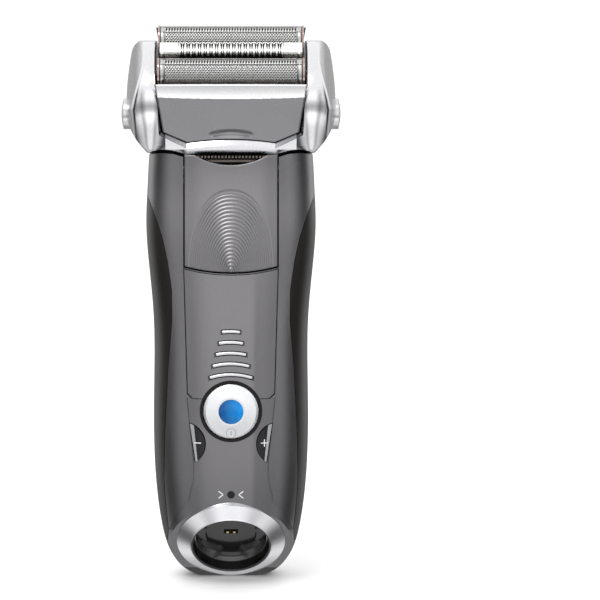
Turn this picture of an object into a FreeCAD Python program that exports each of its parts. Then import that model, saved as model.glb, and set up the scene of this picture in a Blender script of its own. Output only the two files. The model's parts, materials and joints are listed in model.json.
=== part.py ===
import FreeCAD, Part

import math
import os

Vector = FreeCAD.Vector

# Cordless foil shaver, standing on its foot.  Millimetres; +Z up, -Y is the front, +X is right.
# Origin: middle of the footprint, on the surface the shaver stands on.

# ---------------------------------------------------------------- driving dimensions
HANDLE_AXIS_Y = 2.6     # where the handle's axis stands, so that the footprint is centred
PIVOT_Z = 140.7         # height of the axis on which the head swivels
HEAD_TILT = 32.0        # forward lean of the head at rest, degrees
SKIN = 1.6              # thickness of the outer layer: grips, centre cover
WALL = 3.0              # full thickness of the handle's shells
GAP = 0.3               # shadow gap round covers and buttons
FINE_GAP = 0.15         # gap round the moulded-in grips
SQUARENESS = 2.6        # superellipse exponent of the handle's sections
SECTION_STEPS = 12

# handle sections: height, half width, front, back
HANDLE_SECTIONS = [
    (0.0, 9.0, 0.5, 11.5),
    (1.5, 13.0, -3.5, 13.8),
    (5.0, 16.3, -9.0, 15.3),
    (10.0, 18.9, -13.5, 16.0),
    (17.0, 20.7, -16.0, 16.6),
    (27.0, 22.1, -17.2, 17.0),
    (40.0, 22.9, -17.4, 17.2),
    (60.0, 22.9, -17.0, 17.2),
    (80.0, 23.0, -16.2, 16.6),
    (95.0, 24.3, -15.4, 15.8),
    (108.0, 25.1, -14.6, 15.0),
    (118.0, 24.7, -13.6, 14.2),
    (127.0, 24.2, -13.3, 13.3),
    (132.0, 23.4, -13.0, 12.8),
]
SADDLE_GAP = 0.7        # between the head's belly and the trough in the top of the handle
SADDLE_WALL = 2.0
FRONT_TOP_Z = 129.15    # top of the handle's front wall
CREASE_DEPTH = 0.4      # the middle of the front is set back between two rounded flanks

# sloping end of the handle with the charging socket
END_CENTRE = Vector(0, -7.8, 12.95)
END_ANGLE = 52.0        # its normal, from straight down towards the front
RING_R = 16.1
RING_TOP = 2.25
DISH_OUTER_R = 11.85
DISH_R = 11.4
DISH_TOP = 2.0
DISH_STEP = -0.4        # the plug's bore ends here, on a narrower wall
LINER_R = 10.7
DISH_FLOOR = 3.5
DISH_BASE = 5.0

# edge of the side grips: height, distance from the middle
GRIP_EDGE = [
    (9.0, 20.5), (13.0, 19.0), (16.2, 18.6), (26.8, 19.6), (32.8, 19.9), (44.8, 19.7),
    (65.9, 18.6), (80.3, 17.4), (89.3, 17.5), (97.7, 18.7), (104.3, 20.2), (108.8, 21.7),
    (114.8, 24.1), (118.5, 26.5),
]
GRIP_BACK_Y = 9.0

# front of the handle
WINDOW_HALF = 14.0      # trimmer slide's opening
SPLIT_Z = 96.0          # lower edge of the trimmer slide, at its corners
SPLIT_SAG = 1.7
COVER_BOTTOM_Z = 57.5
COVER_BOTTOM_HALF = 13.0
POWER_Z = 53.7
BEZEL_R = 9.15
BEZEL_INNER_R = 8.35
POWER_R = 8.15
LENS_R = 3.65
SCREW_X = 19.8          # handle screws, hidden under the side grips
SCREW_HEIGHTS = [66.0, 92.0]
SCREW_HEAD_Y = -2.6
INDICATOR_Z = 28.7
INDICATOR_R = 1.1
BAR_HEIGHT = 0.85
BAR_PITCH = 3.18
BAR_TOP_Z = 77.4
BAR_HALF_WIDTHS = [2.85, 3.75, 4.65, 5.57, 6.43]

# trimmer: slides forward and up at 45 degrees
TRIMMER_PLANE = 17.3    # distance of the comb plate from the pivot axis
TRIMMER_COMB_T = 0.5
TRIMMER_CUTTER_T = 0.4
TRIMMER_HALF = 10.6
CARRIER_HALF = 12.5
SCOOP_R = 21.0          # lens-shaped scoop in the panel's top edge, over the blade
SCOOP_LOW_Z = 126.1
SCOOP_HALF = 10.9

# head, in its own frame: origin on the swivel axis, z up along the head, y to its back
HEAD_R = 16.5
BELLY = [               # underside that turns in the saddle: distance from the middle, radius
    (13.0, 16.5), (14.0, 16.4), (15.0, 16.05), (16.0, 15.6), (17.0, 15.15), (18.0, 14.7), (20.0, 13.9),
    (22.0, 13.25), (24.9, 12.3),
]
BELLY_HALF = 24.9       # inside the handle's width; the cheeks are outside it
BELLY_WALL = 1.7
BOWL_HALF = 20.1
LIP_Z = -1.5            # the front and the back of the frame end here, over the handle's edges
CHEEK = [               # lower outline of the cheeks, seen along a line that leans by CHEEK_LEAN
    (24.0, -12.3), (24.9, -12.0), (26.0, -10.9), (27.5, -9.2), (28.8, -7.1), (30.0, -4.2), (31.0, 0.0),
    (31.4, 4.0),
]
CHEEK_LEAN = math.radians(41.0)
ARM_PROFILE = [         # arms seen from the side: half depth, height
    (16.5, 0.0), (16.35, 4.5), (15.8, 9.0), (14.3, 13.5), (11.2, 17.4), (6.5, 19.6), (0.0, 20.3),
]
HEAD_HALF = 31.0
HEAD_BULGE = 2.4        # the cheeks are this much narrower at the front and the back
HEAD_FILLET = 1.5
FLARE = 1.1
FOIL_Y = 7.75           # foils' centre lines, in front of and behind the middle
FOIL_Z = 20.0           # centre of the foils' arches
FOIL_R = 4.2
FOIL_T = 0.15
FOIL_HALF = 20.8
FOIL_LEG_Z = 15.6       # lower edge of the foils' legs
CAP_X = 21.3            # outer face of the foil holders' end caps
COMB_HALF_Y = 2.5
COMB_TOP = 24.0
TOOTH_PITCH = 1.66
TOOTH_SLOT = 0.8
PIN_R = 1.3
RELEASE_X = 32.3
RELEASE_HALF_Y = 4.4
RELEASE_LOW = -5.8
RELEASE_HIGH = 3.4
AXLE_R = 1.5
RUNNING = 0.05          # radial clearance of running fits


# ---------------------------------------------------------------- general shapes
def box(x0, x1, y0, y1, z0, z1):
    """Block between two corners."""
    return Part.makeBox(x1 - x0, y1 - y0, z1 - z0, Vector(x0, y0, z0))


def rod(radius, start, end):
    """Round bar between two points."""
    return Part.makeCylinder(radius, (end - start).Length, start, end - start)


def fuse(shapes):
    """One solid from several that touch."""
    return shapes[0].multiFuse(shapes[1:]).removeSplitter()


def cut_all(shape, tools):
    """The shape with every tool taken away."""
    return shape.cut(Part.makeCompound(tools)) if len(tools) == 1 else shape.cut(tools)


def mirrored(shape):
    """The same shape on the other side of the middle plane."""
    return shape.mirror(Vector(0, 0, 0), Vector(1, 0, 0))


def both_sides(shape):
    """A shape and its mirror image."""
    return [shape, mirrored(shape)]


def closed_face(points):
    """Flat face inside straight runs between points."""
    return Part.Face(Part.makePolygon(points + [points[0]]))


def prism_front(outline, y0, y1):
    """Outline of (x, z) points, pushed along Y."""
    points = [Vector(x, y0, z) for x, z in outline]
    return closed_face(points).extrude(Vector(0, y1 - y0, 0))


def prism_side(outline, x0, x1):
    """Outline of (y, z) points, pushed along X."""
    points = [Vector(x0, y, z) for y, z in outline]
    return closed_face(points).extrude(Vector(x1 - x0, 0, 0))


def turned(profile):
    """Profile of (radius, height) points, turned about Z."""
    points = [Vector(r, 0, h) for r, h in profile]
    return closed_face(points).revolve(Vector(0, 0, 0), Vector(0, 0, 1), 360)


def tube(outer, inner, start, end):
    """Round tube between two points."""
    return rod(outer, start, end).cut(rod(inner, start, end))


def arc_band(centre, radius, half_thickness, half_width, y0, y1):
    """Curved bar of even thickness, higher in its middle, pushed along Y."""
    x, z = centre
    wire_points = []
    for r, way in ((radius + half_thickness, 1), (radius - half_thickness, -1)):
        sag = r - math.sqrt(r * r - half_width * half_width)
        top = z + r - radius
        low = top - sag
        run = [Vector(x - half_width, y0, low), Vector(x, y0, top), Vector(x + half_width, y0, low)]
        wire_points.append(run[::way])
    upper = Part.Arc(*wire_points[0]).toShape()
    lower = Part.Arc(*wire_points[1]).toShape()
    right = Part.LineSegment(wire_points[0][2], wire_points[1][0]).toShape()
    left = Part.LineSegment(wire_points[1][2], wire_points[0][0]).toShape()
    return Part.Face(Part.Wire([upper, right, lower, left])).extrude(Vector(0, y1 - y0, 0))


def at_end(shape):
    """Place a shape made about Z on the handle's sloping end, Z pointing out."""
    angle = math.radians(END_ANGLE)
    normal = Vector(0, -math.sin(angle), -math.cos(angle))
    shape.Placement = FreeCAD.Placement(END_CENTRE, FreeCAD.Rotation(Vector(0, 0, 1), normal))
    return shape


def on_head(shape):
    """Place a shape made in the head's frame on the handle."""
    lean = FreeCAD.Rotation(Vector(1, 0, 0), HEAD_TILT)
    placed = shape.copy()
    placed.Placement = FreeCAD.Placement(Vector(0, 0, PIVOT_Z), lean).multiply(shape.Placement)
    return placed


# ---------------------------------------------------------------- handle body
def section_wire(height, half_width, front, back):
    """Squarish oval, wider at the back where front and back differ near the foot."""
    middle = max(0.0, (front + back) / 2)
    right = []
    for step in range(SECTION_STEPS + 1):
        angle = math.pi * step / SECTION_STEPS
        x = half_width * math.sin(angle) ** (2 / SQUARENESS) if 0 < step < SECTION_STEPS else 0.0
        reach = abs(math.cos(angle)) ** (2 / SQUARENESS)
        y = middle + (back - middle) * reach if math.cos(angle) > 0 else middle - (middle - front) * reach
        right.append(Vector(x, y, height))
    left = [Vector(-p.x, p.y, p.z) for p in reversed(right)]
    edges = []
    for points, way in ((right, 1), (left, -1)):
        curve = Part.BSplineCurve()
        curve.interpolate(Points=points, InitialTangent=Vector(way, 0, 0), FinalTangent=Vector(-way, 0, 0))
        edges.append(curve.toShape())
    return Part.Wire(edges)


def handle_loft(inset, front_setback=0.0):
    """Handle's outer form, moved in by an inset, before its ends are shaped."""
    wires = []
    for height, half_width, front, back in HANDLE_SECTIONS:
        wires.append(section_wire(height, half_width - inset, front + inset + front_setback, back - inset))
    return Part.makeLoft(wires, True, False)


def belly(offset):
    """Barrel about the swivel axis: the head's underside, grown by an offset."""
    right = [Vector(x, 0, radius + offset) for x, radius in BELLY]
    left = [Vector(-p.x, 0, p.z) for p in right]
    edges = []
    for points in (right, left):
        outward = points[0].x / abs(points[0].x)
        curve = Part.BSplineCurve()
        tangents = Vector(outward, 0, 0), Vector(outward, 0, -0.25)
        curve.interpolate(Points=points, InitialTangent=tangents[0], FinalTangent=tangents[1])
        edges.append(curve.toShape())
    ends = [Vector(BELLY_HALF, 0, 0), Vector(-BELLY_HALF, 0, 0)]
    outline = [
        edges[0],
        Part.LineSegment(right[-1], ends[0]).toShape(),
        Part.LineSegment(ends[0], ends[1]).toShape(),
        Part.LineSegment(ends[1], left[-1]).toShape(),
        edges[1],
        Part.LineSegment(left[0], right[0]).toShape(),
    ]
    return Part.Face(Part.Wire(Part.__sortEdges__(outline))).revolve(Vector(0, 0, 0), Vector(1, 0, 0), 360)


def trimmed_handle(inset, front_setback=0.0, saddle=SADDLE_GAP, end_depth=0.0, foot=0.0):
    """Handle form with the saddle trough, the front's top edge, the sloping end and the foot cut."""
    trough = belly(saddle)
    trough.translate(Vector(0, 0, PIVOT_Z))
    trough = trough.fuse(box(-60, 60, -60, 0, FRONT_TOP_Z, 200))
    beyond_end = at_end(Part.makeBox(120, 120, 60, Vector(-60, -60, -end_depth)))
    shape = handle_loft(inset, front_setback).cut([trough, beyond_end])
    if foot > 0:
        shape = shape.cut(box(-60, 60, -60, 60, -1, foot))
    return shape


def grip_outline(margin):
    """Right-hand grip area, seen from the front, made larger by a margin."""
    edge = [(x - margin, z) for z, x in GRIP_EDGE]
    low = (40, GRIP_EDGE[0][0])
    high = (40, GRIP_EDGE[-1][0])
    return edge + [high, low]


def grip_area(margin):
    """Block through the handle's right side where the grip lies."""
    return prism_front(grip_outline(margin), -40, GRIP_BACK_Y + margin)


def split_edge(offset, half_width):
    """Points of the sagging joint between trimmer slide and centre cover, left to right."""
    steps = 6
    run = []
    for step in range(steps + 1):
        x = half_width * (2 * step / steps - 1)
        sag = SPLIT_SAG * (1 - (x / WINDOW_HALF) ** 2)
        run.append((x, SPLIT_Z - sag + offset))
    return run


def window_area(half_width, offset, y1):
    """Block over the trimmer slide's opening."""
    edge = split_edge(offset, half_width)
    return prism_front(edge + [(half_width, 140), (-half_width, 140)], -40, y1)


def cover_area(margin):
    """Block over the centre cover, below the trimmer slide."""
    top = split_edge(-0.45 + margin, WINDOW_HALF + margin - GAP)
    low_z = COVER_BOTTOM_Z - margin
    low_x = COVER_BOTTOM_HALF + margin - GAP
    foot = [(low_x, low_z + 1.5), (low_x - 1.5, low_z), (1.5 - low_x, low_z), (-low_x, low_z + 1.5)]
    return prism_front(top + foot, -40, 0)


def crease_area():
    """Waisted middle zone of the lower front, which is set back."""
    side = [(16.8, 18.4), (21.7, 16.3), (26.8, 12.6), (34.0, 11.0), (38.5, 11.1), (COVER_BOTTOM_Z, 13.1)]
    right = [(x, z) for z, x in side]
    left = [(-x, z) for x, z in reversed(right)]
    return prism_front(right + left, -40, 0)


def side_button_area(margin):
    """Minus button's outline: straight outer edge, bulging inner edge."""
    low = Vector(-10.4 - margin * 0.9, -40, 38.5 - margin)
    high = Vector(-12.1 - margin, -40, 49.9 + margin)
    bulge = Vector(-7.7 + margin, -40, 44.3)
    edges = [Part.LineSegment(high, low).toShape(), Part.Arc(low, bulge, high).toShape()]
    return Part.Face(Part.Wire(edges)).extrude(Vector(0, 40, 0))


def screw_places():
    """Handle screws, under the side grips: x and z."""
    return [(side * SCREW_X, z) for side in (-1, 1) for z in SCREW_HEIGHTS]


def screw_bosses(y0, y1, inside):
    """Pillars for the handle screws, kept inside the skin."""
    pillars = [rod(2.0, Vector(x, y0, z), Vector(x, y1, z)) for x, z in screw_places()]
    return [pillar.common(inside) for pillar in pillars]


def screw_holes():
    """Clearance for the screws' shanks and heads."""
    holes = [rod(0.85, Vector(x, -12, z), Vector(x, 5.2, z)) for x, z in screw_places()]
    heads = [rod(1.3, Vector(x, -30, z), Vector(x, SCREW_HEAD_Y, z)) for x, z in screw_places()]
    return holes + heads


def ear_slots():
    """Openings in the saddle for the neck bracket's ears."""
    return both_sides(box(16.9, 20.1, -3.6, 3.6, 118, 130))


def socket_pocket():
    """Room for the end ring and the socket dish."""
    ring_seat = turned([(0, -1.25), (RING_R + 0.05, -1.25), (RING_R + 0.05, 5), (0, 5)])
    seat_r = DISH_OUTER_R + 0.05
    dish_seat = turned([(0, -DISH_BASE), (seat_r, -DISH_BASE), (seat_r, 5), (0, 5)])
    return [at_end(ring_seat), at_end(dish_seat)]


def seal_zone():
    """Slab between the half shells where the seal lies."""
    return box(-40, 40, -0.35, 0.35, 30, 112)


def make_shells(form):
    """Front and rear half shells of the handle, with their seal."""
    outer, skin_inside, cavity = form
    wall = outer.cut(cavity)
    bosses = screw_bosses(-12, 7, skin_inside)
    grips = both_sides(grip_area(FINE_GAP))
    grips = [area.cut(skin_inside) for area in grips]
    openings = ear_slots() + socket_pocket() + grips

    front_half = box(-60, 60, -60, 0, -1, 160)
    front = fuse([wall] + bosses).common(front_half)
    window = window_area(WINDOW_HALF, 0.0, -3.9)
    cover_pocket = cover_area(GAP).cut(skin_inside)
    setback = crease_area().cut(handle_loft(0.0, CREASE_DEPTH))
    buttons = both_sides(side_button_area(GAP))
    power = rod(BEZEL_R + 0.05, Vector(0, -40, POWER_Z), Vector(0, -5, POWER_Z))
    lamp = rod(INDICATOR_R + 0.05, Vector(0, -40, INDICATOR_Z), Vector(0, -5, INDICATOR_Z))
    cuts = openings + [window, cover_pocket, setback, power, lamp, seal_zone()] + buttons + screw_holes()
    front = front.cut(cuts)

    back_half = box(-60, 60, 0, 60, -1, 160)
    contacts = [rod(2.25, Vector(x, 10, 18), Vector(x, 30, 18)) for x in (-6, 6)]
    rear = fuse([wall] + bosses).common(back_half).cut(openings + [seal_zone()] + contacts + screw_holes())

    seal = skin_inside.cut(cavity).common(seal_zone()).cut(screw_holes())
    return front, rear, seal


def make_grips(form):
    """Soft side grips, let into the shells' outer layer."""
    outer, skin_inside, cavity = form
    layer = outer.cut(skin_inside)
    ring_room = at_end(turned([(0, -60), (RING_R + 0.4, -60), (RING_R + 0.4, 5), (0, 5)]))
    right = grip_area(0.0)
    return [area.common(layer).cut(ring_room) for area in (mirrored(right), right)]


def bar_shape(index, margin):
    """One bright bar of the centre cover."""
    half = BAR_HALF_WIDTHS[index] + margin
    z = BAR_TOP_Z - index * BAR_PITCH
    return arc_band((0, z), 20.0, BAR_HEIGHT / 2 + margin, half, -40, -10)


def make_cover(form):
    """Centre cover and the five bright bars let into it."""
    outer, skin_inside, cavity = form
    layer = outer.cut(skin_inside)
    button_room = rod(BEZEL_R + 0.05, Vector(0, -40, POWER_Z), Vector(0, -5, POWER_Z))
    floor = handle_loft(0.8)
    slots = [bar_shape(index, GAP).cut(floor) for index in range(len(BAR_HALF_WIDTHS))]
    cover = cover_area(0.0).common(layer).cut([button_room] + slots)
    bars = [bar_shape(index, 0.0).common(outer).cut(floor) for index in range(len(BAR_HALF_WIDTHS))]
    return cover, Part.makeCompound(bars)


# ---------------------------------------------------------------- controls on the front
def make_power_button():
    """Bezel, silver disc on its stem, and the glass lens in its middle."""
    middle = Vector(0, 0, POWER_Z)
    along = Vector(0, 1, 0)
    bezel = tube(BEZEL_R, BEZEL_INNER_R, middle + along * -17.15, middle + along * -13.6)
    dome = [(0, 0.35), (LENS_R + 0.6, 0.35), (7.4, 0.12), (POWER_R, -0.35), (POWER_R, -2.9), (2.0, -2.9),
            (2.0, -3.9), (0, -3.9)]
    disc = turned(dome)
    lens_seat = turned([(0, -0.6), (LENS_R + 0.03, -0.6), (LENS_R + 0.03, 3), (0, 3)])
    lens = turned([(0, -0.6), (LENS_R, -0.6), (LENS_R, 0.3), (2.6, 0.75), (1.3, 1.0), (0, 1.05)])
    disc = disc.cut(lens_seat)
    place = FreeCAD.Placement(middle + along * -17.2, FreeCAD.Rotation(Vector(0, 0, 1), Vector(0, -1, 0)))
    for shape in (disc, lens):
        shape.Placement = place
    return bezel, disc, lens


def make_side_buttons(form):
    """Minus and plus buttons, each with a short stem behind it."""
    outer = form[0]
    cap = side_button_area(0.0).common(outer).common(box(-40, 0, -40, -14.0, 30, 60))
    stem = rod(1.0, Vector(-9.9, -14.2, 44.2), Vector(-9.9, -13.3, 44.2))
    minus = fuse([cap, stem])
    return minus, mirrored(minus)


def make_indicator(outer):
    """Small dark lens of the charge lamp."""
    pin = rod(INDICATOR_R, Vector(0, -40, INDICATOR_Z), Vector(0, -13.5, INDICATOR_Z))
    return pin.common(outer)


# ---------------------------------------------------------------- sloping end with the socket
def make_end_ring():
    """Bright ring that stands proud of the sloping end."""
    profile = [(RING_R, -1.2), (RING_R, 0.15), (12.3, 2.1), (11.9, RING_TOP), (11.9, -1.2)]
    return at_end(turned(profile))


def make_socket():
    """Dish with locking ribs, its bright liner, and the contact pins."""
    shell = turned([(0, -DISH_BASE), (DISH_OUTER_R, -DISH_BASE), (DISH_OUTER_R, DISH_TOP),
                    (DISH_R, DISH_TOP), (DISH_R, DISH_STEP), (LINER_R, DISH_STEP),
                    (LINER_R, -DISH_FLOOR), (0, -DISH_FLOOR)])
    ribs = []
    for quarter in range(4):
        rib = tube(10.2, 7.6, Vector(0, 0, -DISH_FLOOR - 0.2), Vector(0, 0, -DISH_FLOOR + 1.1))
        wedge = prism_wedge(38.0, 14.0)
        wedge.rotate(Vector(0, 0, 0), Vector(0, 0, 1), 90 * quarter)
        ribs.append(rib.common(wedge))
    slot = box(-2.1, 2.1, -1.0, 1.0, -DISH_BASE - 1, -DISH_FLOOR + 1)
    plate = box(-2.1, 2.1, -1.0, 1.0, -DISH_BASE, -DISH_BASE + 0.5)
    pin_holes = [rod(0.45, Vector(x, 0, -8), Vector(x, 0, 0)) for x in (-1.0, 1.0)]
    dish = fuse([fuse([shell] + ribs).cut(slot), plate]).cut(pin_holes)
    pins = [rod(0.4, Vector(x, 0, -DISH_BASE), Vector(x, 0, -DISH_FLOOR + 0.4)) for x in (-1.0, 1.0)]
    liner = turned([(LINER_R - 0.02, -0.7), (LINER_R - 0.1, -0.7), (LINER_R - 0.4, -DISH_FLOOR),
                    (LINER_R - 0.02, -DISH_FLOOR)])
    return at_end(dish), at_end(liner), at_end(Part.makeCompound(pins))


def prism_wedge(angle, radius):
    """Wedge about Z, centred on +X."""
    half = math.radians(angle / 2)
    points = [Vector(0, 0, -10), Vector(radius * math.cos(half), -radius * math.sin(half), -10),
              Vector(radius * math.cos(half), radius * math.sin(half), -10)]
    return closed_face(points).extrude(Vector(0, 0, 20))


def make_contacts(outer):
    """Two charging contacts in the back."""
    feet = [rod(2.2, Vector(x, 13.2, 18), Vector(x, 30, 18)).common(outer) for x in (-6, 6)]
    return Part.makeCompound(feet)


# ---------------------------------------------------------------- inside the handle
def make_chassis():
    """Inner frame: a plate with cheeks for the battery behind and posts for the board in front."""
    plate = box(-15.6, 15.6, -2.2, -1.0, 24, 94)
    cheeks = both_sides(box(7.4, 8.6, -1.0, 9.0, 26, 84))
    ends = [box(-7.4, 7.4, -1.0, 4.0, 26, 27.2), box(-7.4, 7.4, -1.0, 4.0, 82.8, 84)]
    posts = [rod(1.5, Vector(x, -7.25, z), Vector(x, -2.2, z)) for x in (-12.5, 12.5) for z in (30, 88)]
    return fuse([plate] + cheeks + ends + posts)


def make_battery():
    """Round cell with a raised end."""
    can = rod(6.9, Vector(0, 6.2, 30), Vector(0, 6.2, 79))
    return fuse([can, rod(2.5, Vector(0, 6.2, 79), Vector(0, 6.2, 80))])


def make_battery_tabs():
    """Nickel tabs on the cell's ends."""
    return Part.makeCompound([box(-2, 2, 1.0, 9.0, 29.75, 29.95), box(-2, 2, 1.0, 9.0, 80.05, 80.25)])


def make_board():
    """Circuit board in front of the chassis."""
    holes = [rod(0.8, Vector(x, -10, z), Vector(x, -6, z)) for x in (-12.5, 12.5) for z in (30, 88)]
    return box(-15.0, 15.0, -8.5, -7.3, 25.5, 92).cut(holes)


def make_switches():
    """Push switches on the board, one behind each button."""
    switches = []
    for x, z in ((0.0, POWER_Z), (-9.9, 44.2), (9.9, 44.2)):
        body = box(x - 2.2, x + 2.2, -10.6, -8.5, z - 2.2, z + 2.2)
        switches.append(fuse([body, rod(1.1, Vector(x, -12.6, z), Vector(x, -10.6, z))]))
    return Part.makeCompound(switches)


def make_screws():
    """Four screws that hold the half shells together."""
    screws = []
    for x, z in screw_places():
        shank = rod(0.8, Vector(x, SCREW_HEAD_Y - 0.1, z), Vector(x, 5.0, z))
        head = rod(1.2, Vector(x, SCREW_HEAD_Y - 1.0, z), Vector(x, SCREW_HEAD_Y - 0.02, z))
        head = head.cut(box(x - 2, x + 2, SCREW_HEAD_Y - 2, SCREW_HEAD_Y - 0.6, z - 0.2, z + 0.2))
        screws.append(fuse([shank, head]))
    return Part.makeCompound(screws)


def make_neck():
    """Bracket with two ears under the saddle, and the pivot pins in them."""
    ears = []
    for ear in both_sides(fuse([box(17.3, 19.7, -2.9, 2.9, 119.4, PIVOT_Z),
                                rod(2.9, Vector(17.3, 0, PIVOT_Z), Vector(19.7, 0, PIVOT_Z))])):
        ears.append(ear)
    plate = box(-19.7, 19.7, -3.2, 3.2, 119.4, 121.35)
    hole = rod(AXLE_R, Vector(-40, 0, PIVOT_Z), Vector(40, 0, PIVOT_Z))
    pins = both_sides(rod(AXLE_R, Vector(15.0, 0, PIVOT_Z), Vector(19.7, 0, PIVOT_Z)))
    return fuse([plate] + ears).cut(hole), Part.makeCompound(pins)


# ---------------------------------------------------------------- pop-out trimmer
def trimmer_slab(near, far, half_width):
    """Slab parallel to the trimmer's path, between two distances from the pivot axis."""
    across = math.sqrt(0.5)
    slab = Part.makeBox(2 * half_width, 80, far - near, Vector(-half_width, -40, near))
    toward = Vector(0, -across, -across)
    slab.Placement = FreeCAD.Placement(Vector(0, 0, PIVOT_Z), FreeCAD.Rotation(Vector(0, 0, 1), toward))
    return slab


def comb_teeth(near, far, tip_y, root, half_width, pitch, slot):
    """Slots between the teeth of a trimmer plate whose tips lie at tip_y."""
    count = int(half_width // pitch)
    tools = []
    for index in range(-count, count + 1):
        x = index * pitch
        tools.append(box(x - slot / 2, x + slot / 2, tip_y - 5, tip_y + root, 100, 150))
    area = trimmer_slab(near - 0.1, far + 0.1, half_width + 1)
    return [tool.common(area) for tool in tools]


def make_trimmer(form):
    """Sliding panel, blade carrier, fixed comb and moving cutter."""
    outer, skin_inside, cavity = form
    comb_far = TRIMMER_PLANE + TRIMMER_COMB_T
    cutter_near = comb_far + 0.1
    cutter_far = cutter_near + TRIMMER_CUTTER_T
    below = trimmer_slab(cutter_far + 0.1, 80, 40)
    blade_room = trimmer_slab(0, cutter_far + 0.1, SCOOP_HALF)
    path = trimmer_slab(TRIMMER_PLANE - 0.2, 80, 40)
    panel = outer.cut(cavity).common(window_area(WINDOW_HALF - GAP, 0.45, -6.0)).common(path).cut(blade_room)
    scoop_z = SCOOP_LOW_Z + SCOOP_R
    scoop = rod(SCOOP_R, Vector(0, -25, scoop_z), Vector(0, -5, scoop_z))
    panel = panel.cut(scoop)
    carrier = prism_side([(-10.4, 125.8), (-5.2, 120.6), (-5.2, 100.0), (-11.0, 100.0), (-11.0, 125.2)],
                         -CARRIER_HALF, CARRIER_HALF).common(below).cut(panel).common(cavity)
    carrier = carrier.cut(box(-9.5, 9.5, -12, -6.4, 101.5, 118.0))
    comb = trimmer_slab(TRIMMER_PLANE, comb_far, TRIMMER_HALF).common(box(-40, 40, -12.6, -5.4, 100, 150))
    comb = comb.cut(comb_teeth(TRIMMER_PLANE, comb_far, -12.6, 1.3, 9.7, 1.0, 0.45))
    cutter = trimmer_slab(cutter_near, cutter_far, 9.2).common(box(-40, 40, -12.1, -6.2, 100, 150))
    cutter = cutter.cut(comb_teeth(cutter_near, cutter_far, -12.1, 1.2, 8.3, 1.0, 0.5))
    return panel, carrier, comb, cutter


def make_trimmer_bay(cavity):
    """Tray behind the trimmer, open to the front and the top."""
    tray = box(-15.4, 15.4, -13.5, -3.9, 96.9, 119.0).cut(box(-14.0, 14.0, -20, -4.9, 98.1, 125))
    return tray.common(cavity)


# ---------------------------------------------------------------- head
def head_outline():
    """Head seen from the front: right-hand edge from the top to the bottom."""
    return [
        (25.4, 20.3), (27.0, 18.0), (28.3, 15.0), (29.7, 10.0), (30.6, 5.0), (30.9, 0.0), (30.9, -5.0),
        (30.5, -17.0),
    ]


def head_front_prism():
    """Head's front outline pushed through."""
    right = [Vector(x, -30, z) for x, z in head_outline()]
    left = [Vector(-p.x, p.y, p.z) for p in reversed(right)]
    edges = []
    for points in (right, left):
        curve = Part.BSplineCurve()
        curve.interpolate(Points=points)
        edges.append(curve.toShape())
    bottom = Part.LineSegment(right[-1], left[0]).toShape()
    top = Part.LineSegment(left[-1], right[0]).toShape()
    return Part.Face(Part.Wire([edges[0], bottom, edges[1], top])).extrude(Vector(0, 60, 0))


def head_side_prism():
    """Head's side outline: round below, arms that curve in to a rounded top."""
    half = [Vector(-40, -y, z) for y, z in ARM_PROFILE]
    whole = half + [Vector(p.x, -p.y, p.z) for p in reversed(half[:-1])]
    curve = Part.BSplineCurve()
    curve.interpolate(Points=whole, InitialTangent=Vector(0, 0, 1), FinalTangent=Vector(0, 0, -1))
    below = Part.Arc(whole[-1], Vector(-40, 0, -HEAD_R), whole[0]).toShape()
    return Part.Face(Part.Wire([curve.toShape(), below])).extrude(Vector(80, 0, 0))


def head_bulge_prism():
    """Head seen from above: its cheeks bulge outwards between front and back."""
    front_x = HEAD_HALF - HEAD_BULGE
    corners = [Vector(front_x, -HEAD_R, -30), Vector(front_x, HEAD_R, -30)]
    cheek = Part.Arc(corners[0], Vector(HEAD_HALF, 0, -30), corners[1]).toShape()
    left = Vector(-HEAD_HALF, 0, -30)
    opposite = Part.Arc(Vector(-front_x, HEAD_R, -30), left, Vector(-front_x, -HEAD_R, -30))
    back = Part.LineSegment(corners[1], Vector(-front_x, HEAD_R, -30)).toShape()
    front = Part.LineSegment(Vector(-front_x, -HEAD_R, -30), corners[0]).toShape()
    return Part.Face(Part.Wire([cheek, back, opposite.toShape(), front])).extrude(Vector(0, 0, 60))


def cassette_outline(margin, y):
    """Outline of the room between the head's arms, made smaller by a margin."""
    run = [Vector(-22.9 + margin, y, 25.0), Vector(-20.2 + margin, y, 3.8), Vector(-12.9, y, -0.3 + margin)]
    rise = Vector(0, y, 0.9 + margin)
    mirror_run = [Vector(-p.x, p.y, p.z) for p in reversed(run)]
    edges = [
        Part.LineSegment(run[0], run[1]).toShape(),
        Part.LineSegment(run[1], run[2]).toShape(),
        Part.Arc(run[2], rise, mirror_run[0]).toShape(),
        Part.LineSegment(mirror_run[0], mirror_run[1]).toShape(),
        Part.LineSegment(mirror_run[1], mirror_run[2]).toShape(),
        Part.LineSegment(mirror_run[2], run[0]).toShape(),
    ]
    return Part.Wire(edges)


def cassette_space(margin):
    """Room between the head's arms, pushed through from front to back."""
    return Part.Face(cassette_outline(margin, -40)).extrude(Vector(0, 80, 0))


def cassette_flare(side):
    """Widening of that room towards the front or the back, which bevels the frame's inner edge."""
    near = cassette_outline(0.0, side * 15.0)
    far = cassette_outline(-FLARE, side * 17.0)
    return Part.makeLoft([near, far], True, True)


def release_oval(half_y, low, high, x0, x1):
    """Upright oval block on the head's right side."""
    z_low = low + half_y
    z_high = high - half_y
    parts = [rod(half_y, Vector(x0, 0, z_low), Vector(x1, 0, z_low)),
             rod(half_y, Vector(x0, 0, z_high), Vector(x1, 0, z_high))]
    if z_high > z_low:
        parts.append(box(x0, x1, -half_y, half_y, z_low, z_high))
    return fuse(parts)


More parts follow.
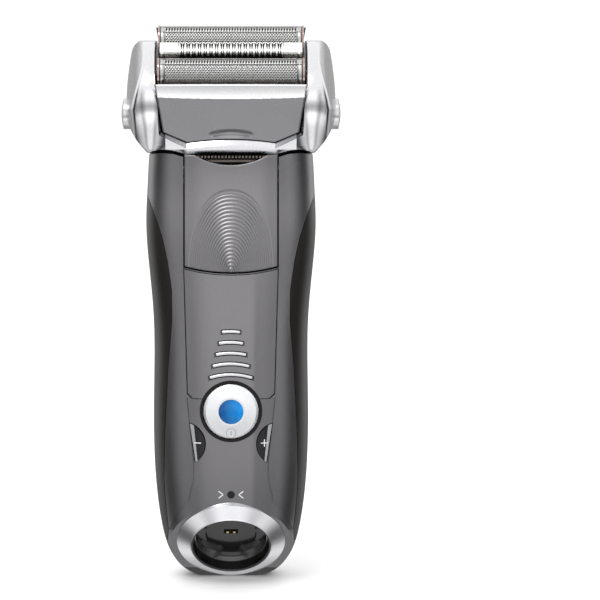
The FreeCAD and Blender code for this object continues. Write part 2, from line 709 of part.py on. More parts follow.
def cheek_prism(side):
    """Cheeks' rounded lower outline pushed through along a leaning line, from the front or the back."""
    up = Vector(0, side * math.sin(CHEEK_LEAN), math.cos(CHEEK_LEAN))
    along = Vector(0, side * math.cos(CHEEK_LEAN), -math.sin(CHEEK_LEAN))
    prisms = []
    for way in (1, -1):
        low = [Vector(way * x, 0, 0) + up * drop - along * 60 for x, drop in CHEEK]
        curve = Part.BSplineCurve()
        curve.interpolate(Points=low)
        top = [Vector(way * x, 0, 0) + up * 60 - along * 60 for x in (CHEEK[-1][0], CHEEK[0][0])]
        outline = [
            curve.toShape(),
            Part.LineSegment(low[-1], top[0]).toShape(),
            Part.LineSegment(top[0], top[1]).toShape(),
            Part.LineSegment(top[1], low[0]).toShape(),
        ]
        prisms.append(Part.Face(Part.Wire(outline)).extrude(along * 120))
    return prisms


def head_room():
    """Room the frame may fill: a barrel under a straight lip between the cheeks, and the rounded cheeks."""
    middle = belly(0.0).fuse(box(-BELLY_HALF, BELLY_HALF, -40, 40, LIP_Z, 60))
    beyond = [box(BELLY_HALF, 60, -60, 60, -60, 60), box(-60, -BELLY_HALF, -60, 60, -60, 60)]
    cheeks = []
    for front, back, end in zip(cheek_prism(1), cheek_prism(-1), beyond):
        cheeks.append(front.common(back).common(end))
    return fuse([middle] + cheeks)


def make_head_frame():
    """Bright cradle: a bowl round the neck and two arms beside the cassette."""
    body = head_front_prism().common(head_side_prism()).common(head_bulge_prism())
    body = body.makeFillet(HEAD_FILLET, body.Edges).common(head_room())
    bowl = belly(-BELLY_WALL).common(box(-BOWL_HALF, BOWL_HALF, -20, 20, -20, 20))
    sweep = []
    ear = box(17.1, 19.95, -3.6, 3.6, -30, 0)
    for angle in range(-47, -11, 5):
        turned_ear = ear.copy()
        turned_ear.rotate(Vector(0, 0, 0), Vector(1, 0, 0), angle)
        sweep += both_sides(turned_ear)
    low, high = RELEASE_LOW - 0.25, RELEASE_HIGH + 0.25
    buttons = both_sides(release_oval(RELEASE_HALF_Y + 0.25, low, high, 22.4, 40))
    return body.cut([cassette_space(0.0), cassette_flare(-1), cassette_flare(1), bowl] + sweep + buttons)


def make_release(side):
    """Release button with a domed face, and the spring behind it."""
    block = release_oval(RELEASE_HALF_Y, RELEASE_LOW, RELEASE_HIGH, 26.0, RELEASE_X)
    centre_z = (RELEASE_LOW + RELEASE_HIGH) / 2
    dome = Part.makeSphere(16.0, Vector(RELEASE_X - 16.0, 0, centre_z))
    button = block.common(dome)
    spring = tube(2.5, 1.9, Vector(22.45, 0, centre_z), Vector(25.95, 0, centre_z))
    if side < 0:
        button = mirrored(button)
        spring = mirrored(spring)
    return button, spring


def make_carrier():
    """Tray in the bowl with two bored bosses that turn on the pivot pins."""
    tray = box(-14.8, 14.8, -9.4, 9.4, -10.6, 0.9).cut(box(-13.6, 13.6, -8.2, 8.2, -9.4, 5))
    bosses = both_sides(rod(2.5, Vector(14.0, 0, 0), Vector(17.0, 0, 0)))
    bore = rod(AXLE_R + RUNNING, Vector(-30, 0, 0), Vector(30, 0, 0))
    inner_room = box(-13.6, 13.6, -8.2, 8.2, -9.4, 5)
    return fuse([tray] + bosses).cut([bore, inner_room])


def make_motor():
    """Linear motor: iron core, winding, and the magnets on the bridge above."""
    base = box(-10.8, 10.8, -4.5, 4.5, -9.35, -7.8)
    posts = [box(-2.0, 2.0, -4.5, 4.5, -7.8, -4.2)] + both_sides(box(8.8, 10.8, -4.5, 4.5, -7.8, -4.2))
    core = fuse([base] + posts)
    winding = box(-6.4, 6.4, -6.2, 6.2, -7.75, -4.6).cut(box(-2.2, 2.2, -4.7, 4.7, -8, -4))
    pair = [box(-6.4, -0.6, -4.4, 4.4, -3.8, -2.4), box(0.6, 6.4, -4.4, 4.4, -3.8, -2.4)]
    magnets = Part.makeCompound(pair)
    return core, winding, magnets


def make_bridge():
    """Plate that the motor drives, with a pin for each cutter."""
    plate = box(-9.0, 9.0, -7.8, 7.8, -2.4, -1.2)
    ears = both_sides(box(9.0, 11.9, -3.0, 3.0, -2.4, -1.2))
    pins = [rod(PIN_R, Vector(0, y, -1.2), Vector(0, y, 14.0)) for y in (-FOIL_Y + 0.9, FOIL_Y - 0.9)]
    middle = rod(0.9, Vector(0, 0, -1.2), Vector(0, 0, 14.0))
    return fuse([plate] + ears + pins + [middle])


def make_counterweights():
    """Two bars that swing against the cutters."""
    return Part.makeCompound([box(-9, 9, 6.5, 8.0, -7.4, -3.4), box(-9, 9, -8.0, -6.5, -7.4, -3.4)])


def make_leaf_springs():
    """Thin upright springs at the bridge's ends."""
    return Part.makeCompound(both_sides(box(11.95, 12.2, -3.0, 3.0, -9.35, -1.2)))


def make_drive_seal():
    """Rubber sheet over the drive, with a hole round each pin."""
    sheet = box(-13.9, 13.9, -9.2, 9.2, 0.95, 1.75)
    holes = [rod(2.8, Vector(0, y, 0), Vector(0, y, 3)) for y in (-FOIL_Y + 0.9, 0, FOIL_Y - 0.9)]
    return sheet.cut(holes)


# ---------------------------------------------------------------- foil cassette
def make_cassette_frame():
    """Tray that holds the two foils and the middle comb."""
    outline = [(-21.2, 14.2), (-19.9, 4.6), (-12.4, 2.2), (12.4, 2.2), (19.9, 4.6), (21.2, 14.2)]
    outer = prism_front(outline, -13.4, 13.4)
    walls = [box(-20.9, 20.9, 12.95, 13.4, 14.2, 18.6), box(-20.9, 20.9, -13.4, -12.95, 14.2, 18.6)]
    room = prism_front([(-20.4, 20), (-20.3, 14.3), (-19.0, 5.0), (-12.1, 3.3), (12.1, 3.3), (19.0, 5.0),
                        (20.3, 14.3), (20.4, 20)], -12.95, 12.95)
    holes = [rod(3.0, Vector(0, y, 0), Vector(0, y, 6)) for y in (-FOIL_Y + 0.9, 0, FOIL_Y - 0.9)]
    return fuse([outer] + walls).cut([room] + holes)


def make_cassette_panel():
    """Front face of the cassette, with a finger dimple low in its middle."""
    profile = [(-13.43, 20.3), (-13.8, 20.3), (-15.0, 16.8), (-15.2, -1.0), (-13.43, -1.0)]
    section = prism_side(profile, -40, 40)
    panel = section.common(cassette_space(GAP))
    dimple = Part.makeSphere(52.0, Vector(0, -66.6, 3.6)).common(box(-20, 20, -40, 0, 1.6, 5.8))
    return panel.cut(dimple)


def arch_profile(radius, leg_low, centre_y):
    """Points and edges of an upright arch with straight legs."""
    left = Vector(0, centre_y - radius, FOIL_Z)
    top = Vector(0, centre_y, FOIL_Z + radius)
    right = Vector(0, centre_y + radius, FOIL_Z)
    low_left = Vector(0, centre_y - radius, leg_low)
    low_right = Vector(0, centre_y + radius, leg_low)
    edges = [
        Part.LineSegment(low_left, left).toShape(),
        Part.Arc(left, top, right).toShape(),
        Part.LineSegment(right, low_right).toShape(),
        Part.LineSegment(low_right, low_left).toShape(),
    ]
    return Part.Face(Part.Wire(edges))


def arch_block(radius, leg_low, centre_y, x0, x1):
    """Solid arch between two x places."""
    block = arch_profile(radius, leg_low, centre_y).extrude(Vector(x1 - x0, 0, 0))
    block.translate(Vector(x0, 0, 0))
    return block


def make_foil(centre_y):
    """Thin arched foil."""
    outside = arch_block(FOIL_R, FOIL_LEG_Z, centre_y, -FOIL_HALF, FOIL_HALF)
    inside = arch_block(FOIL_R - FOIL_T, 14.0, centre_y, -FOIL_HALF - 1, FOIL_HALF + 1)
    return outside.cut(inside)


def make_foil_holder(centre_y):
    """Frame round a foil: two rails and two end caps."""
    rails = []
    for y0 in (centre_y - FOIL_R - 0.7, centre_y + FOIL_R + 0.03):
        rails.append(box(-19.6, 19.6, y0, y0 + 0.67, 12.7, 16.2))
    caps = []
    for cap in both_sides(arch_block(FOIL_R + 0.25, 15.6, centre_y, FOIL_HALF + 0.02, CAP_X)):
        caps.append(cap)
    blocks = both_sides(box(18.8, 19.7, centre_y - 4.9, centre_y + 4.9, 12.7, 16.2))
    links = both_sides(box(18.8, CAP_X - 0.05, centre_y - 3.9, centre_y + 3.9, 15.7, 17.2))
    foil_slot = arch_block(FOIL_R + 0.02, FOIL_LEG_Z - 0.1, centre_y, -FOIL_HALF, FOIL_HALF)
    foil_slot = foil_slot.cut(arch_block(FOIL_R - FOIL_T - 0.02, 14.0, centre_y, -22, 22))
    return fuse(rails + caps + blocks + links).cut(foil_slot)


def make_lift_comb():
    """Middle comb with a slotted roof."""
    outline = [(-COMB_HALF_Y, 14.0), (-COMB_HALF_Y, 23.2), (-1.9, COMB_TOP), (1.9, COMB_TOP),
               (COMB_HALF_Y, 23.2), (COMB_HALF_Y, 14.0)]
    body = prism_side(outline, -20.8, 20.8)
    room = box(-18.6, 18.6, -2.1, 2.1, 10, 23.4)
    slots = []
    for index in range(-9, 10):
        x = index * TOOTH_PITCH
        slots.append(box(x - TOOTH_SLOT / 2, x + TOOTH_SLOT / 2, -5, 5, 22.4, 30))
    feet = both_sides(box(18.6, 19.7, -COMB_HALF_Y, COMB_HALF_Y, 12.7, 14.0))
    wall_room = both_sides(box(19.8, 22.0, -5, 5, 10, 15.8))
    return fuse([body.cut([room] + slots + wall_room)] + feet)


def make_mid_cutter():
    """Straight cutter under the middle comb."""
    bar = box(-15.5, 15.5, -1.7, 1.7, 12.6, 23.2)
    slots = [box(i * TOOTH_PITCH + 0.43, i * TOOTH_PITCH + 1.23, -5, 5, 20.5, 30) for i in range(-9, 9)]
    socket = rod(0.9 + RUNNING, Vector(0, 0, 10), Vector(0, 0, 16))
    return bar.cut([socket] + slots)


def make_cutter(centre_y):
    """Row of arched blades, and the plastic block that the drive pin enters."""
    row = arch_block(FOIL_R - FOIL_T - 0.12, 17.4, centre_y, -18.2, 18.2)
    gaps = []
    for index in range(24):
        x = -17.5 + index * 1.5
        gaps.append(box(x, x + 0.9, centre_y - 6, centre_y + 6, 18.6, 30))
    side = 1 if centre_y > 0 else -1
    block = box(-15.0, 15.0, centre_y - 2.9, centre_y + 2.9, 12.6, 17.4)
    pin_y = centre_y - side * 0.9
    socket = rod(PIN_R + RUNNING, Vector(0, pin_y, 10), Vector(0, pin_y, 16.2))
    return row.cut(gaps), block.cut(socket)


def make_float_springs(centre_y):
    """Pair of small springs under a floating part."""
    spring = tube(1.0, 0.6, Vector(17.4, centre_y, 5.0), Vector(17.4, centre_y, 12.6))
    return Part.makeCompound(both_sides(spring))


# ---------------------------------------------------------------- the whole shaver
def handle_form():
    """Outer form, the surface under the skin, and the cavity."""
    outer = trimmed_handle(0.0)
    skin_inside = trimmed_handle(SKIN, saddle=SADDLE_GAP - 1, end_depth=-1)
    cavity = trimmed_handle(WALL, saddle=SADDLE_GAP + SADDLE_WALL, end_depth=DISH_BASE + 1.6, foot=WALL)
    return outer, skin_inside, cavity


def all_nodes():
    """Every piece of the shaver, by name, in the finished frame."""
    form = handle_form()
    outer, skin_inside, cavity = form
    nodes = {}
    nodes["front_shell"], nodes["rear_shell"], nodes["shell_seal"] = make_shells(form)
    nodes["left_grip"], nodes["right_grip"] = make_grips(form)
    nodes["center_cover"], nodes["accent_bars"] = make_cover(form)
    nodes["button_bezel"], nodes["power_button"], nodes["power_lens"] = make_power_button()
    nodes["minus_button"], nodes["plus_button"] = make_side_buttons(form)
    nodes["indicator_lens"] = make_indicator(trimmed_handle(0.0, CREASE_DEPTH))
    nodes["end_ring"] = make_end_ring()
    nodes["socket_dish"], nodes["socket_liner"], nodes["socket_pins"] = make_socket()
    nodes["rear_contacts"] = make_contacts(outer)
    nodes["chassis"] = make_chassis()
    nodes["battery_cell"] = make_battery()
    nodes["battery_tabs"] = make_battery_tabs()
    nodes["circuit_board"] = make_board()
    nodes["key_switches"] = make_switches()
    nodes["shell_screws"] = make_screws()
    nodes["neck_bracket"], nodes["pivot_pins"] = make_neck()
    nodes["trimmer_bay"] = make_trimmer_bay(cavity)
    trimmer = make_trimmer(form)
    names = ("trimmer_slide", "trimmer_carrier", "trimmer_comb", "trimmer_cutter")
    nodes.update(zip(names, trimmer))

    head = {}
    head["head_frame"] = make_head_frame()
    head["release_button_left"], head["release_spring_left"] = make_release(-1)
    head["release_button_right"], head["release_spring_right"] = make_release(1)
    head["head_carrier"] = make_carrier()
    head["motor_core"], head["motor_winding"], head["drive_magnets"] = make_motor()
    head["drive_bridge"] = make_bridge()
    head["counterweights"] = make_counterweights()
    head["leaf_springs"] = make_leaf_springs()
    head["drive_seal"] = make_drive_seal()
    head["cassette_frame"] = make_cassette_frame()
    head["cassette_front_panel"] = make_cassette_panel()
    head["cassette_rear_panel"] = make_cassette_panel().mirror(Vector(0, 0, 0), Vector(0, 1, 0))
    for name, centre_y in (("front", -FOIL_Y), ("rear", FOIL_Y)):
        head["foil_" + name] = make_foil(centre_y)
        head["foil_" + name + "_holder"] = make_foil_holder(centre_y)
        head["foil_" + name + "_springs"] = make_float_springs(centre_y)
        head["cutter_" + name], head["cutter_" + name + "_block"] = make_cutter(centre_y)
    head["lift_comb"] = make_lift_comb()
    head["comb_springs"] = make_float_springs(0.0)
    head["mid_cutter"] = make_mid_cutter()
    for name, shape in head.items():
        nodes[name] = on_head(shape)

    shift = Vector(0, HANDLE_AXIS_Y, 0)
    for shape in nodes.values():
        shape.translate(shift)
    return nodes


def main():
    """Write one STEP file per piece."""
    os.makedirs("parts", exist_ok=True)
    for name, shape in all_nodes().items():
        shape.exportStep(os.path.join("parts", name + ".step"))


if __name__ == "__main__":
    main()
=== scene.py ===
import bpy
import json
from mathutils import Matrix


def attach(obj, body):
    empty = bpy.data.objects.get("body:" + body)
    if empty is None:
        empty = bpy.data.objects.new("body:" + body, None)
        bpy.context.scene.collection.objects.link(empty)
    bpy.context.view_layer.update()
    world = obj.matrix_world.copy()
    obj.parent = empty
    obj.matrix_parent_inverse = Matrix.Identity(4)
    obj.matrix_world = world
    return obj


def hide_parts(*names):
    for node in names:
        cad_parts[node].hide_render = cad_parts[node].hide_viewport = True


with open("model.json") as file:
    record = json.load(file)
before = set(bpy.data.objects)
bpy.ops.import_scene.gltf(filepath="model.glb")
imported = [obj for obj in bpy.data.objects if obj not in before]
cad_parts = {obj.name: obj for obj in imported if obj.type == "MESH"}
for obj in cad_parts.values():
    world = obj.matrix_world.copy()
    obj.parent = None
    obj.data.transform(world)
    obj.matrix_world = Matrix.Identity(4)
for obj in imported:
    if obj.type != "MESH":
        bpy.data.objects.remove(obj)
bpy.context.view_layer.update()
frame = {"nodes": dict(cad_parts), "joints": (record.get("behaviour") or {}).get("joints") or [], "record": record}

import json
import math

import bmesh
import bpy
import numpy as np
from mathutils import Matrix, Vector
from mathutils.bvhtree import BVHTree

# Looks of the foil shaver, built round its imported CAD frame.  Blender works in metres.  The sizes and
# points of the detailed pieces are millimetres, which mesh_piece turns into metres.
MM = 0.001

nodes = frame["nodes"]
joints = {joint["name"]: joint for joint in frame["joints"]}
pivot = Vector(joints["head_swivel"]["pos_m"])
lift_axis = Vector(joints["cassette_lift"]["axis"])
head_tilt = math.atan2(-lift_axis.y, lift_axis.z)
head_place = Matrix.Translation(pivot) @ Matrix.Rotation(head_tilt, 4, "X")
handle_axis_y = pivot.y


# ---------------------------------------------------------------- camera, light and floor
CAMERA_DISTANCE = 1.150
CAMERA_ELEVATION = math.radians(9.0)
VIEW_WIDTH = 0.1782         # metres across the picture at the object
AIM_HEIGHT = 0.0842
SHIFT_X = 0.115             # the shaver stands left of the picture's middle

# studio walls all round, from straight behind the shaver (0) past its sides to straight in front (1)
WALL_TONES = [(0.0, 0.42), (0.14, 0.55), (0.26, 1.15), (0.36, 0.95), (0.44, 0.15), (0.52, 0.05),
              (0.60, 0.10), (0.68, 0.70), (0.76, 0.95), (0.83, 0.48), (0.93, 1.30), (1.0, 1.20)]
# the walls' share of that tone, from straight down (0) through level (0.5) to straight up (1)
LEVEL_TONES = [(0.0, 0.80), (0.07, 0.72), (0.14, 1.05), (0.20, 1.15), (0.26, 0.50), (0.33, 0.36),
               (0.41, 0.58), (0.47, 0.88), (0.53, 1.0), (1.0, 1.0)]
# share of plain white ceiling, by the height of the direction (0 level, 1 straight up)
CEILING_TONES = [(0.12, 0.0), (0.50, 1.0)]
ROOM_STRENGTH = 1.35
SENSOR_WIDTH = 36.0


def make_camera():
    camera_data = bpy.data.cameras.new("camera")
    camera = bpy.data.objects.new("camera", camera_data)
    bpy.context.scene.collection.objects.link(camera)
    back = Vector((0, -math.cos(CAMERA_ELEVATION), math.sin(CAMERA_ELEVATION)))
    aim = Vector((0, handle_axis_y, AIM_HEIGHT))
    camera.location = aim + back * CAMERA_DISTANCE
    camera.rotation_mode = "QUATERNION"
    camera.rotation_quaternion = (-back).to_track_quat("-Z", "Y")
    camera_data.sensor_width = SENSOR_WIDTH
    camera_data.lens = SENSOR_WIDTH * CAMERA_DISTANCE / VIEW_WIDTH
    camera_data.shift_x = SHIFT_X
    camera_data.clip_end = 20.0
    bpy.context.scene.camera = camera
    bpy.context.scene.view_settings.view_transform = "Standard"


def add_softbox(name, place, size, power):
    """Rectangular lamp that looks at the middle of the shaver."""
    lamp = bpy.data.lights.new(name, "AREA")
    lamp.shape = "RECTANGLE"
    lamp.size, lamp.size_y = size
    lamp.energy = power
    lamp_object = bpy.data.objects.new(name, lamp)
    bpy.context.scene.collection.objects.link(lamp_object)
    lamp_object.location = place
    aim = Vector((0, 0, 0.09)) - Vector(place)
    lamp_object.rotation_mode = "QUATERNION"
    lamp_object.rotation_quaternion = aim.to_track_quat("-Z", "Y")


def make_lights():
    """One softbox overhead and studio walls that the metal reflects."""
    add_softbox("top_softbox", (-0.25, -0.35, 0.80), (0.5, 0.35), 3.0)
    world = bpy.data.worlds.new("studio")
    bpy.context.scene.world = world
    world.use_nodes = True
    tree = world.node_tree
    background = tree.nodes["Background"]
    x, y, z = axes_of(tree, "Generated")
    turn = calculate(tree, "ARCTAN2", calculate(tree, "ABSOLUTE", x), y)
    around = add_ramp(tree, calculate(tree, "DIVIDE", turn, math.pi), WALL_TONES)
    level = add_ramp(tree, calculate(tree, "MULTIPLY_ADD", z, 0.5, 0.5), LEVEL_TONES)
    above = add_ramp(tree, z, CEILING_TONES)
    walls = mix_colours(tree, "MULTIPLY", 1.0, around, level)
    room = mix_colours(tree, "MIX", above, walls, (1.0, 1.0, 1.0, 1))
    tree.links.new(room, background.inputs["Color"])
    background.inputs["Strength"].default_value = ROOM_STRENGTH


def axes_of(tree, coordinates="Object"):
    """The x, y and z of a texture coordinate."""
    split = tree.nodes.new("ShaderNodeSeparateXYZ")
    tree.links.new(tree.nodes.new("ShaderNodeTexCoord").outputs[coordinates], split.inputs[0])
    return split.outputs["X"], split.outputs["Y"], split.outputs["Z"]


def mix_colours(tree, way, share, first, second):
    """Blend of two colours; the share, first or second may be a socket or a fixed value."""
    node = tree.nodes.new("ShaderNodeMix")
    node.data_type = "RGBA"
    node.blend_type = way
    for index, value in ((0, share), (6, first), (7, second)):
        if isinstance(value, bpy.types.NodeSocket):
            tree.links.new(value, node.inputs[index])
        else:
            node.inputs[index].default_value = value
    return node.outputs[2]


def calculate(tree, operation, *values):
    """Maths node over sockets and fixed values."""
    node = tree.nodes.new("ShaderNodeMath")
    node.operation = operation
    for socket, value in zip(node.inputs, values):
        if isinstance(value, bpy.types.NodeSocket):
            tree.links.new(value, socket)
        else:
            socket.default_value = value
    return node.outputs[0]


def add_ramp(tree, value, tones):
    """Grey ramp through (place, tone) pairs."""
    ramp = tree.nodes.new("ShaderNodeValToRGB")
    tree.links.new(value, ramp.inputs[0])
    elements = ramp.color_ramp.elements
    elements[0].position, elements[1].position = tones[0][0], tones[-1][0]
    for place, tone in tones[1:-1]:
        elements.new(place)
    for element, (place, tone) in zip(elements, tones):
        element.color = (tone, tone, tone, 1)
    return ramp.outputs["Color"]


def make_floor():
    """Wide pale floor, which is also the background."""
    mesh = bpy.data.meshes.new("floor")
    reach = 6.0
    corners = [(-reach, -reach, 0), (reach, -reach, 0), (reach, reach, 0), (-reach, reach, 0)]
    mesh.from_pydata(corners, [], [(0, 1, 2, 3)])
    floor = bpy.data.objects.new("floor", mesh)
    bpy.context.scene.collection.objects.link(floor)
    material, shader = new_material("floor_white")
    shader.inputs["Base Color"].default_value = (0.93, 0.93, 0.93, 1)
    shader.inputs["Roughness"].default_value = 0.45
    mesh.materials.append(material)
    floor.visible_glossy = False


# ---------------------------------------------------------------- materials
def new_material(name):
    material = bpy.data.materials.new(name)
    material.use_nodes = True
    return material, material.node_tree.nodes["Principled BSDF"]


def add_noise(tree, scale, detail=3.0, stretch=None):
    """Noise value over the piece, stretched along its axes where asked."""
    noise = tree.nodes.new("ShaderNodeTexNoise")
    noise.inputs["Scale"].default_value = scale
    noise.inputs["Detail"].default_value = detail
    place = tree.nodes.new("ShaderNodeTexCoord").outputs["Object"]
    if stretch is not None:
        mapping = tree.nodes.new("ShaderNodeMapping")
        mapping.inputs["Scale"].default_value = stretch
        tree.links.new(place, mapping.inputs["Vector"])
        place = mapping.outputs["Vector"]
    tree.links.new(place, noise.inputs["Vector"])
    return noise.outputs["Fac"]


def spread(tree, value, low, high):
    """A noise value spread over low to high."""
    node = tree.nodes.new("ShaderNodeMapRange")
    for name, setting in (("From Min", 0.3), ("From Max", 0.7), ("To Min", low), ("To Max", high)):
        node.inputs[name].default_value = setting
    tree.links.new(value, node.inputs["Value"])
    return node.outputs["Result"]


def toned(tree, value, dark, light, low=0.3, high=0.7):
    """Colour that runs from dark to light as a value goes from low to high."""
    ramp = tree.nodes.new("ShaderNodeValToRGB")
    for element, position, colour in zip(ramp.color_ramp.elements, (low, high), (dark, light)):
        element.position = position
        element.color = (*colour, 1)
    tree.links.new(value, ramp.inputs["Fac"])
    return ramp.outputs["Color"]


def add_bump(tree, shader, height, strength, distance):
    """Bump on top of any bump that the shader already has."""
    bump = tree.nodes.new("ShaderNodeBump")
    bump.inputs["Strength"].default_value = strength
    bump.inputs["Distance"].default_value = distance
    tree.links.new(height, bump.inputs["Height"])
    normal = shader.inputs["Normal"]
    if normal.is_linked:
        tree.links.new(normal.links[0].from_socket, bump.inputs["Normal"])
    tree.links.new(bump.outputs["Normal"], normal)


def surface(name, dark, light, metallic, rough, grain, bump=0.0, gloss=0.5, coat=0.0, brushed=None):
    """General finish: two-tone colour, roughness drift and a fine grain."""
    material, shader = new_material(name)
    tree = material.node_tree
    shader.inputs["Metallic"].default_value = metallic
    shader.inputs["Specular IOR Level"].default_value = gloss
    shader.inputs["Coat Weight"].default_value = coat
    shader.inputs["Coat Roughness"].default_value = 0.05
    fine = add_noise(tree, grain, stretch=brushed)
    broad = add_noise(tree, 55.0, 2.0)
    tree.links.new(toned(tree, fine, dark, light), shader.inputs["Base Color"])
    tree.links.new(spread(tree, broad, *rough), shader.inputs["Roughness"])
    if bump:
        add_bump(tree, shader, fine, bump, 0.00005)
    return material


CROWN_MIDDLE = 0.0236       # the head frame's arms are highest here, to the left and right (metres)
CROWN_INNER = 0.0045        # how far inwards the crown reaches
CROWN_FALL = 58.0           # fall in metres for each square metre


def add_crown(material):
    """Soft crown across the head frame's two arms."""
    tree = material.node_tree
    distance = calculate(tree, "ABSOLUTE", axes_of(tree)[0])
    across = calculate(tree, "ADD", distance, -CROWN_MIDDLE)
    reach = calculate(tree, "MAXIMUM", across, -CROWN_INNER)
    square = calculate(tree, "MULTIPLY", reach, reach)
    add_bump(tree, tree.nodes["Principled BSDF"], calculate(tree, "MULTIPLY", square, -CROWN_FALL), 1.0, 1.0)


# slot: material name, dark tone, light tone, metallic, roughness from and to, grain, other settings
FINISHES = {
    "grey_shell": ("grey_metallic_paint", (0.175, 0.17, 0.178), (0.225, 0.22, 0.228), 0.92,
                   (0.27, 0.33), 9000.0, {"bump": 0.05}),
    "black_shell": ("gloss_black", (0.004, 0.0035, 0.004), (0.008, 0.007, 0.007), 0.0,
                    (0.10, 0.16), 2500.0, {"gloss": 0.6}),
    "grip_rubber": ("soft_grip", (0.008, 0.007, 0.0065), (0.014, 0.012, 0.011), 0.0,
                    (0.26, 0.34), 7000.0, {"bump": 0.10, "gloss": 0.35}),
    "inner_plastic": ("inner_plastic", (0.02, 0.02, 0.02), (0.035, 0.035, 0.035), 0.0,
                      (0.45, 0.6), 3000.0, {"bump": 0.1}),
    "seal_rubber": ("seal_rubber", (0.006, 0.006, 0.006), (0.012, 0.012, 0.012), 0.0,
                    (0.6, 0.75), 4000.0, {"bump": 0.2, "gloss": 0.2}),
    "screw_steel": ("plain_steel", (0.36, 0.36, 0.36), (0.46, 0.46, 0.46), 1.0,
                    (0.3, 0.4), 3000.0, {}),
    "bright_trim": ("bright_trim", (0.60, 0.60, 0.62), (0.68, 0.68, 0.70), 0.97,
                    (0.20, 0.26), 6000.0, {"bump": 0.02}),
    "mirror_frame": ("mirror_frame", (0.60, 0.60, 0.62), (0.68, 0.68, 0.70), 1.0,
                     (0.12, 0.17), 3000.0, {}),
    "panel_silver": ("panel_silver", (0.22, 0.22, 0.23), (0.27, 0.27, 0.28), 0.97,
                     (0.24, 0.30), 7000.0, {"bump": 0.04}),
    "release_silver": ("release_silver", (0.48, 0.48, 0.49), (0.58, 0.58, 0.59), 0.97,
                       (0.2, 0.26), 3000.0, {}),
    "panel_band": ("panel_band", (0.74, 0.74, 0.75), (0.82, 0.82, 0.83), 0.97,
                   (0.16, 0.22), 4000.0, {}),
    "cassette_brown": ("cassette_brown", (0.022, 0.010, 0.008), (0.040, 0.020, 0.016), 0.0,
                       (0.12, 0.2), 900.0, {"coat": 0.3}),
    "cap_rose": ("cap_rose", (0.34, 0.25, 0.235), (0.44, 0.34, 0.32), 0.85,
                 (0.12, 0.2), 900.0, {}),
    "foil_steel": ("foil_steel", (0.40, 0.40, 0.40), (0.50, 0.50, 0.49), 1.0,
                   (0.24, 0.32), 5000.0, {}),
    "blade_steel": ("blade_steel", (0.030, 0.026, 0.025), (0.055, 0.048, 0.046), 0.9,
                    (0.25, 0.35), 5000.0, {"brushed": (0.05, 1.0, 1.0)}),
    # the trimmer is a real steel part; its dark brown tint is painted shade under the head
    "trimmer_steel": ("trimmer_steel", (0.10, 0.085, 0.08), (0.16, 0.135, 0.125), 1.0,
                      (0.25, 0.35), 5000.0, {"brushed": (0.05, 1.0, 1.0)}),
    "button_silver": ("button_silver", (0.66, 0.67, 0.69), (0.76, 0.77, 0.79), 0.75,
                      (0.22, 0.28), 5000.0, {}),
    "dark_lens": ("dark_lens", (0.003, 0.003, 0.0035), (0.006, 0.006, 0.007), 0.0,
                  (0.08, 0.12), 900.0, {"gloss": 0.4}),
    "contact_metal": ("contact_gold", (0.55, 0.40, 0.16), (0.66, 0.50, 0.22), 1.0,
                      (0.2, 0.3), 3000.0, {}),
    "cell_sleeve": ("cell_sleeve", (0.05, 0.16, 0.10), (0.07, 0.20, 0.13), 0.0,
                    (0.2, 0.3), 2000.0, {}),
    "board_green": ("board_green", (0.01, 0.08, 0.03), (0.015, 0.11, 0.045), 0.0,
                    (0.3, 0.4), 3000.0, {}),
    "copper_wire": ("copper_wire", (0.40, 0.13, 0.05), (0.52, 0.19, 0.08), 1.0,
                    (0.25, 0.35), 3000.0, {}),
    "core_iron": ("core_iron", (0.15, 0.15, 0.155), (0.2, 0.2, 0.205), 1.0,
                  (0.4, 0.5), 3000.0, {"brushed": (8.0, 0.1, 1.0)}),
    "mark_silver": ("printed_silver", (0.60, 0.60, 0.61), (0.72, 0.72, 0.73), 0.3,
                    (0.35, 0.45), 4000.0, {}),
    "mark_grey": ("printed_grey", (0.22, 0.22, 0.23), (0.30, 0.30, 0.31), 0.3,
                  (0.35, 0.45), 4000.0, {}),
    # dark finish: the key bezel's own black, and painted shade in gaps and creases round the bars, along the
    # foils' folds and between the comb's teeth
    "dark_line": ("black_bezel_and_painted_gap_shade", (0.004, 0.003, 0.003), (0.008, 0.006, 0.006), 0.0,
                  (0.4, 0.55), 3000.0, {"gloss": 0.2}),
    "comb_bright": ("comb_bright", (0.78, 0.78, 0.77), (0.88, 0.88, 0.86), 1.0,
                    (0.20, 0.28), 3000.0, {}),
}


def make_materials():
    """Every finish, by the name of its slot."""
    made = {}
    for slot, (name, dark, light, metallic, rough, grain, others) in FINISHES.items():
        made[slot] = surface(name, dark, light, metallic, rough, grain, **others)
    add_crown(made["mirror_frame"])
    made["key_gloss"] = make_key_gloss()
    made["blue_lens"] = make_blue_glass_with_painted_shade()
    return made


KEY_EDGE = (0.102, 0.0059)  # the silver edge starts at |x| = 0.102 z + 0.0059, metres


def make_key_gloss():
    """Side key: satin silver along its outer edge, glossy dark inside."""
    material, shader = new_material("key_two_tone")
    tree = material.node_tree
    x, _, z = axes_of(tree)
    edge = calculate(tree, "MULTIPLY_ADD", z, *KEY_EDGE)
    outside = calculate(tree, "GREATER_THAN", calculate(tree, "ABSOLUTE", x), edge)
    grain = add_noise(tree, 6000.0)
    silver = toned(tree, grain, (0.52, 0.53, 0.55), (0.62, 0.63, 0.65))
    dark = toned(tree, grain, (0.030, 0.030, 0.034), (0.045, 0.045, 0.050))
    tree.links.new(mix_colours(tree, "MIX", outside, dark, silver), shader.inputs["Base Color"])
    tree.links.new(spread(tree, add_noise(tree, 300.0), 0.16, 0.24), shader.inputs["Roughness"])
    shader.inputs["Metallic"].default_value = 0.9
    return material


